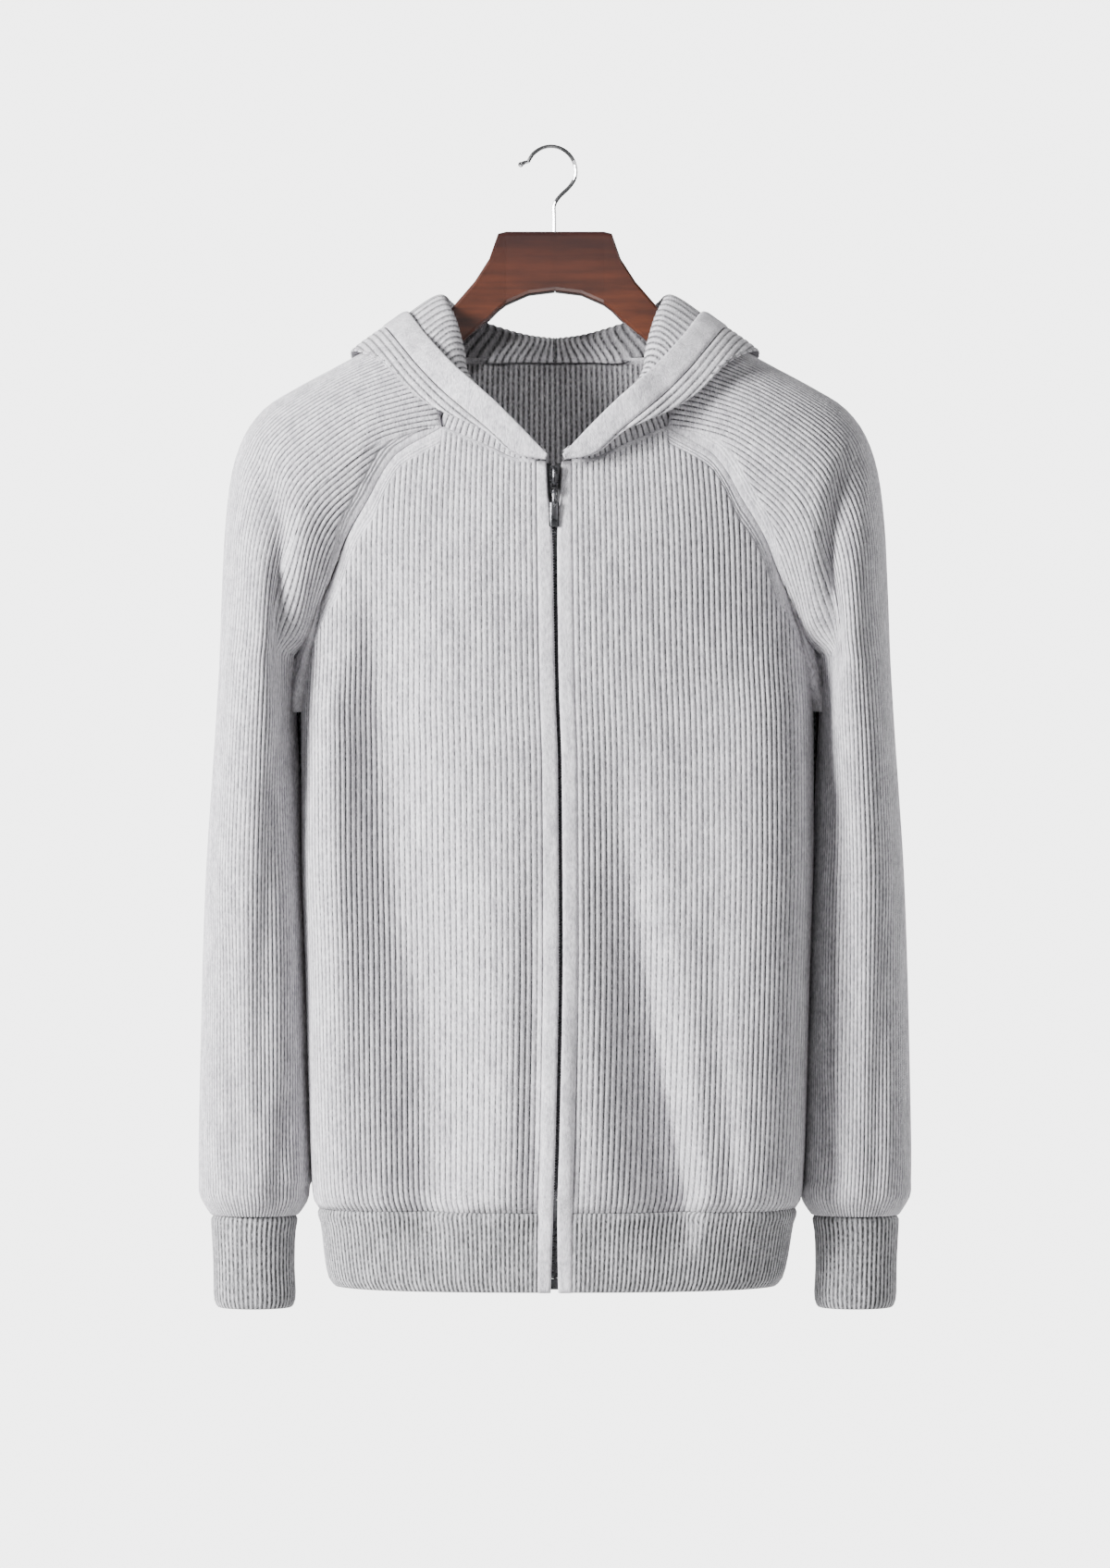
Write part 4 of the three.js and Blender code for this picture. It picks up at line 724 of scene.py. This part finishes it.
# Hood: up from the neck seam, over a roll, down to a fold and up again to its free edge
stations = [
    ("front", 7, (6.6, -79.5, -235.5), (7, -87, -241), (6.4, -92.5, -237.5)),
    ("front", 28, (26, -79, -223), (29, -87.5, -237.5), (23.5, -92, -218.5)),
    ("front", 46, (42, -77.5, -205), (51, -87, -220), (45.5, -91, -196.5)),
    ("front", 65, (58, -72, -189), (69, -84.5, -211.5), (60, -87, -183.5)),
    ("front", 83, (70, -61, -172), (88, -78, -202.5), (74, -76, -170.5)),
    ("sleeveFront", 62, (75, -46, -150), (106, -72, -190), (86, -66, -157.5)),
    ("sleeveFront", 32, (79.5, -29, -131), (128.5, -58, -167), (98.5, -46, -142)),
    ("sleeveFront", 0, (87, 0, -114), (149, -23, -156), (111.5, -15.5, -124.6)),
    ("sleeveBack", 30, (82, 29, -117), (153, 27, -158), (116.5, 27, -126.6)),
    ("sleeveBack", 72, (68, 57, -125), (148, 76, -170), (107, 70, -138)),
    ("back", 51, (45, 59, -134), (124, 92, -230), (84, 86, -156)),
    ("back", 26, (22, 63, -140), (76, 110, -322), (46, 100, -166)),
    ("back", 0, (0, 64, -142.5), (0, 116, -372), (0, 105, -171)),
]
wallThickness, hoodThickness, neckLift = 2.2, 2.0, 1.0


def neckPoint(seam, place):
    if seam in ("front", "back"):
        z = (frontNeck if seam == "front" else backNeck)(np.array([float(place)]))
        point = torsoAt(z, runAtX(np.array([float(place)]), z, seam), 1, seam)[0]
        inwards = wallThickness / 2 * (1 if seam == "front" else -1)
        return np.array([place, point[1] + inwards, z[0] + neckLift * 1.2])
    s, share = np.zeros(1), np.array([place / 90 * 0.62])
    point = sleeveAt(s, share, 1, "front" if seam == "sleeveFront" else "back")[0]
    return point + np.array([-hoodThickness / 2 - neckLift, 0, neckLift])


def cubic(a, leave, b, arrive, t):
    start = (1 + 2 * t) * (1 - t) ** 2 * a + t * (1 - t) ** 2 * leave
    return start + t * t * (3 - 2 * t) * b + t * t * (t - 1) * arrive


def throughPoints(points):  # centripetal curve through points, by share of their number
    p = np.array(points, float)
    p = np.concatenate([[2 * p[0] - p[1]], p, [2 * p[-1] - p[-2]]])

    def at(share):
        place = np.clip(share, 0, 1) * (len(points) - 1)
        i = np.minimum(place.astype(int), len(points) - 2)
        t = (place - i)[:, None]
        a, b, c, d = (p[i + k] for k in range(4))
        pairs = ((b, a), (c, b), (d, c))
        d0, d1, d2 = (np.maximum(np.linalg.norm(q - r, axis=1) ** 0.5, 1e-4)[:, None] for q, r in pairs)
        m1 = ((b - a) / d0 - (c - a) / (d0 + d1) + (c - b) / d1) * d1
        m2 = ((c - b) / d1 - (d - b) / (d1 + d2) + (d - c) / d2) * d1
        return cubic(b, m1, c, m2, t)

    return at


def hermite(a, leave, b, arrive, t):
    return cubic(a, leave, b, arrive, t[:, None, None])


def hoodLines(share):  # rows of the hood and of its band, for stations given by share
    lines = [throughPoints([neckPoint(seam, place) for seam, place, *_ in stations])]
    lines += [throughPoints([row[k] for row in stations]) for k in (2, 3, 4)]
    neck, roll, fold, edge = (line(share) for line in lines)
    out = fold - roll
    out[:, 2] = 0
    reach = np.linalg.norm(out, axis=1)
    out /= reach[:, None]
    soft = np.minimum(reach * 1.5, (roll[:, 2] - fold[:, 2]) * 2)
    rise = roll - neck
    most = np.linalg.norm(rise, axis=1) * 1.3 + (roll[:, 2] - fold[:, 2]) * 0.1
    rollTurn = out * np.minimum(soft, most)[:, None]
    dip = out - np.array([0, 0, 0.2])
    dip /= np.linalg.norm(dip, axis=1)[:, None]
    foldTurn = dip * np.minimum(soft, np.linalg.norm(fold - edge, axis=1) * 0.9)[:, None]
    up = hermite(neck, rise * 1.1, roll, rollTurn, np.linspace(0, 1, 15))
    down = hermite(roll, rollTurn, fold, foldTurn, np.linspace(0, 1, 33))[1:]
    fine = hermite(fold, foldTurn, edge, edge - fold, np.linspace(0, 1, 60))
    step = np.linalg.norm(np.diff(fine, axis=0), axis=2)
    left = np.concatenate([np.cumsum(step[::-1], axis=0)[::-1], np.zeros((1, len(share)))])
    full = left[0]
    width = np.minimum(21, full * 0.9)

    def atLeft(values):
        place = np.stack([np.interp(-values[k], -left[:, k], np.arange(60)) for k in range(len(share))])
        i = np.minimum(place.astype(int), 58)
        t = (place - i)[:, None]
        k = np.arange(len(share))
        return fine[i, k] * (1 - t) + fine[i + 1, k] * t

    climb = np.stack([atLeft(full + (width - full) * t) for t in np.linspace(0, 1, 21)[1:]])
    band = np.stack([atLeft(width * (1 - t)) for t in (0, 0.05, 0.13, 0.3, 0.5, 0.7, 0.87, 0.95, 1)])
    tuck = neck - (up[1] - neck) / np.linalg.norm(up[1] - neck, axis=1)[:, None] * 3.5
    return np.concatenate([tuck[None], up, down, climb]), band


hoodRibs = 54
share = np.linspace(0, 1, hoodRibs * 4 + 1)
hoodBody, hoodBand = hoodLines(share)
foldRow = 15 + 32
print("hood", hoodBody.shape, hoodBand.shape)


def mirrored(points, side):
    return points * np.array([side, 1, 1])


for side, name in ((-1, "hood_left"), (1, "hood_right")):
    points = mirrored(hoodBody, side)
    row = np.arange(len(points))[:, None]
    phase = share[None] * hoodRibs
    steps = np.linalg.norm(np.diff(points, axis=0), axis=2)
    along = np.concatenate([np.zeros((1, len(share))), np.cumsum(steps, axis=0)])
    toBand = along[-1][None] - along
    lower = fade(row, foldRow + 1, foldRow + 5)
    height = ribHeights(phase) * 0.8 * (1 - lower) * fade(along, 1, 5)
    parallel = ribHeights(toBand / 5.2)
    height = -height - parallel * 0.9 * lower * fade(toBand, 0.2, 2)
    height += 1.0 * np.exp(-toBand / 1.2) + 0.9 * np.exp(-np.abs(points[..., 0]) / 1.0)
    rib = np.where(lower > 0.5, toBand / 5.2, phase)
    probe = points[1, 80] * np.array([1.2, 1.2, 1])
    made = clothGrid(name, points, -height - 1.0, rib, along, probe, 1.8)
    dress(made, knit, "knit", name)

whole = np.concatenate([mirrored(hoodBand, -1), hoodBand[:, -2::-1]], axis=1)
shape = np.array([-1.2, -0.1, 0.3, 0.3, 0.3, 0.3, 0.1, -0.5, -1.1])[:, None] * np.ones(whole.shape[1])[None]
acrossBand = np.linspace(0, 7, 9)[:, None] * np.ones(whole.shape[1])[None]
steps = np.linalg.norm(np.diff(whole[4], axis=0), axis=1)
alongBand = np.concatenate([[0], np.cumsum(steps)])[None] * np.ones((9, 1))
made = clothGrid("hood_band", whole, shape, acrossBand, alongBand, (0, -20, -300), 2.2)
dress(made, plainKnit, "knit", "hood_band")

# Hanger and hook keep their solids
for name in ("hanger_left", "hanger_right"):
    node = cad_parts[name]
    node.data.materials.clear()
    node.data.materials.append(wood)
for name, material in (("hanger_hook", steel), ("zip_slider", gunmetal)):
    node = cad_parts[name]
    node.data.materials.clear()
    node.data.materials.append(material)


# Zip: metal teeth, slider bridge, end box and pull
def hardPiece(add, size, name, bevel=0.0, segments=2):  # a primitive brought to size in edit mode
    bpy.ops.object.select_all(action="DESELECT")
    add()
    piece = bpy.context.object
    piece.name = name
    bpy.ops.object.mode_set(mode="EDIT")
    bpy.ops.mesh.select_all(action="SELECT")
    bpy.ops.transform.resize(value=tuple(v * mm for v in size))
    if bevel:
        bpy.ops.mesh.select_all(action="DESELECT")
        bpy.ops.mesh.edges_select_sharp(sharpness=math.radians(50))
        bpy.ops.mesh.bevel(offset=bevel * mm, segments=segments)
    bpy.ops.object.mode_set(mode="OBJECT")
    return piece


def moved(piece, place):  # its mesh goes to a place in millimetres, and the object stays at the origin
    bpy.ops.object.select_all(action="DESELECT")
    piece.select_set(True)
    bpy.context.view_layer.objects.active = piece
    bpy.ops.object.mode_set(mode="EDIT")
    bpy.ops.mesh.select_all(action="SELECT")
    bpy.ops.transform.translate(value=tuple(v * mm for v in place))
    bpy.ops.object.mode_set(mode="OBJECT")


def joined(pieces):
    bpy.ops.object.select_all(action="DESELECT")
    for piece in pieces:
        piece.select_set(True)
    bpy.context.view_layer.objects.active = pieces[0]
    bpy.ops.object.join()
    bpy.ops.object.shade_smooth_by_angle(angle=math.radians(40))
    return bpy.context.object


def cube():
    bpy.ops.mesh.primitive_cube_add(size=1)


def rod():
    bpy.ops.mesh.primitive_cylinder_add(vertices=40, radius=0.5, depth=1)


def wireRing(radius, wire, around, through):  # stands across the zip, with its hole along X
    def add():
        bpy.ops.mesh.primitive_torus_add(
            major_radius=radius, minor_radius=wire, major_segments=around, minor_segments=through,
            rotation=(0, math.pi / 2, 0))

    return add


teeth = {"width": 3, "deep": 2, "tall": 1.25, "pitch": 2.1, "top": -262.5, "sink": 3.5}
tooth = hardPiece(cube, (teeth["width"], teeth["deep"], teeth["tall"]), "zip_teeth", 0.3, 1)
rows = int((teeth["top"] - hemZ - 4) / teeth["pitch"])
for step, count in (((0, 0, -teeth["pitch"]), rows), ((1.5, 0, -teeth["pitch"] / 2), 2)):
    array = tooth.modifiers.new("row", "ARRAY")
    array.use_relative_offset, array.use_constant_offset = False, True
    array.constant_offset_displace = tuple(v * mm for v in step)
    array.count = count
    bpy.ops.object.modifier_apply(modifier="row")
spots = np.zeros(len(tooth.data.vertices) * 3)
tooth.data.vertices.foreach_get("co", spots)
spots = spots.reshape(-1, 3)
spots[:, 2] += teeth["top"] * mm
path = torsoAt(spots[:, 2] / mm, np.zeros(len(spots)), 1, "front")
spots[:, 0] += (path[:, 0] - 0.75) * mm
spots[:, 1] += (path[:, 1] + teeth["sink"]) * mm
tooth.data.vertices.foreach_set("co", spots.ravel())
tooth.data.update()
dress(tooth, gunmetal, "zip_metal", "zip_chain")
print("made teeth", len(tooth.data.polygons) * 2)

bridge = hardPiece(wireRing(3.4, 0.75, 40, 14), (1.3, 0.62, 1.75), "zip_bridge")
moved(bridge, (-0.7, -85, -253.2))
bpy.ops.object.shade_smooth()
dress(bridge, gunmetal, "zip_metal")
boxZ = -857.0
box = hardPiece(cube, (6.4, 3.2, 8), "zip_box", 0.6)
boxX, boxY = torsoAt(np.array([boxZ]), np.zeros(1), 1, "front")[0, :2]
moved(box, (boxX, boxY + 3.4, boxZ - 0.5))
dress(box, gunmetal, "zip_metal")

# The pull is made about its pivot, tilted and then moved there
pull = {"pivot": (-0.75, -86.6, -264.4), "width": 7, "deep": 2.4, "top": -8, "bottom": -26.6, "tilt": 1.5}
tab = hardPiece(rod, (pull["width"], pull["deep"], pull["top"] - pull["bottom"]), "zip_tab", 0.7, 3)
moved(tab, (0, 0, (pull["top"] + pull["bottom"]) / 2))
neck = hardPiece(rod, (2.8, 2.1, 8.4), "pull_neck", 0.3)
moved(neck, (0, 0, -5.6))
eye = hardPiece(wireRing(1.5, 0.6, 32, 12), (2, 1, 1), "pull_eye")
tab = joined([tab, neck, eye])
bpy.ops.object.mode_set(mode="EDIT")
bpy.ops.mesh.select_all(action="SELECT")
bpy.ops.transform.rotate(value=math.radians(pull["tilt"]), orient_axis="X", center_override=(0, 0, 0))
bpy.ops.object.mode_set(mode="OBJECT")
moved(tab, pull["pivot"])
dress(tab, gunmetal, "zip_metal", "zip_pull", body="pull")

# A thin core closes the joint between the hanger's halves
bpy.ops.mesh.primitive_cube_add(size=1)
core = bpy.context.object
core.name = "hanger_joint"
bpy.ops.object.mode_set(mode="EDIT")
bpy.ops.transform.resize(value=(0.001, 0.0185, 0.0425))
bpy.ops.transform.translate(value=(0, 0, -0.0867))
bpy.ops.object.mode_set(mode="OBJECT")
dress(core, wood, "wood")

# Stage, light and camera
floorZ = -1.3
bpy.ops.mesh.primitive_circle_add(vertices=96, radius=1.5, fill_type="NGON", location=(0, 0, 0))
floor = bpy.context.object
floor.name = "floor"
bpy.ops.object.mode_set(mode="EDIT")
bpy.ops.transform.translate(value=(0, 0, floorZ))
bpy.ops.object.mode_set(mode="OBJECT")
floorLook, tree, shader, start, place = newMaterial("pale_floor", Roughness=0.9)
join(tree, place.noise(40.0).colours((0.80, 0.80, 0.80), (0.84, 0.84, 0.84)), shader, "Base Color")
floor.data.materials.append(floorLook)

world = bpy.data.worlds.new("studio")
bpy.context.scene.world = world
world.use_nodes = True
tree = world.node_tree
studio = tree.nodes["Background"]
studio.inputs["Color"].default_value = (0.97, 0.985, 1, 1)
studio.inputs["Strength"].default_value = 0.13
backdrop = tree.nodes.new("ShaderNodeBackground")  # what the camera sees behind the object
backdrop.inputs["Color"].default_value = (1, 1, 1, 1)
backdrop.inputs["Strength"].default_value = 4.6
seen, choice = tree.nodes.new("ShaderNodeLightPath"), tree.nodes.new("ShaderNodeMixShader")
tree.links.new(seen.outputs["Is Camera Ray"], choice.inputs[0])
tree.links.new(studio.outputs[0], choice.inputs[1])
tree.links.new(backdrop.outputs[0], choice.inputs[2])
tree.links.new(choice.outputs[0], tree.nodes["World Output"].inputs["Surface"])


def areaLight(name, place, target, size, power):
    data = bpy.data.lights.new(name, "AREA")
    data.shape = "RECTANGLE"
    data.size, data.size_y = size
    data.energy = power
    lamp = bpy.data.objects.new(name, data)
    bpy.context.scene.collection.objects.link(lamp)
    lamp.location = place
    aim = np.array(target) - np.array(place)
    lamp.rotation_euler = (math.atan2(math.hypot(aim[0], aim[1]), -aim[2]), 0, math.atan2(-aim[0], aim[1]))


areaLight("key", (-2.4, -1.75, 0.35), (0, 0, -0.45), (0.9, 1.3), 430)
areaLight("fill", (1.9, -2.7, 0.5), (0, 0, -0.45), (1.4, 1.4), 14)
areaLight("side", (2.7, -1.5, 0.1), (0.1, 0, -0.5), (1.1, 1.1), 20)
areaLight("rim", (1.9, 0.9, 0.2), (0, 0, -0.4), (1, 1), 30)
spot = bpy.data.lights.new("neck", "SPOT")  # a narrow soft light into the neck
spot.energy = 130
spot.spot_size = math.radians(8)
spot.spot_blend = 1.0
spot.shadow_soft_size = 0.12
neckLight = bpy.data.objects.new("neck", spot)
bpy.context.scene.collection.objects.link(neckLight)
neckLight.location = (0.05, -1.75, 0.62)
aim = mathutils.Vector((0, 0.05, -0.2)) - neckLight.location
neckLight.rotation_euler = aim.to_track_quat("-Z", "Y").to_euler()

# The picture is as high as the photo at 0.70 mm a pixel, seen through a long lens
pictureHeight, sensor, lens, nearer, middleZ = 1.1865, 36, 150, 0.02, -0.483
cameraData = bpy.data.cameras.new("camera")
cameraData.lens = lens
camera = bpy.data.objects.new("camera", cameraData)
bpy.context.scene.collection.objects.link(camera)
camera.location = (0, -pictureHeight / sensor * lens - nearer, middleZ)
camera.rotation_euler = (math.pi / 2, 0, 0)
cameraData.clip_start, cameraData.clip_end = 0.1, 50
bpy.context.scene.camera = camera
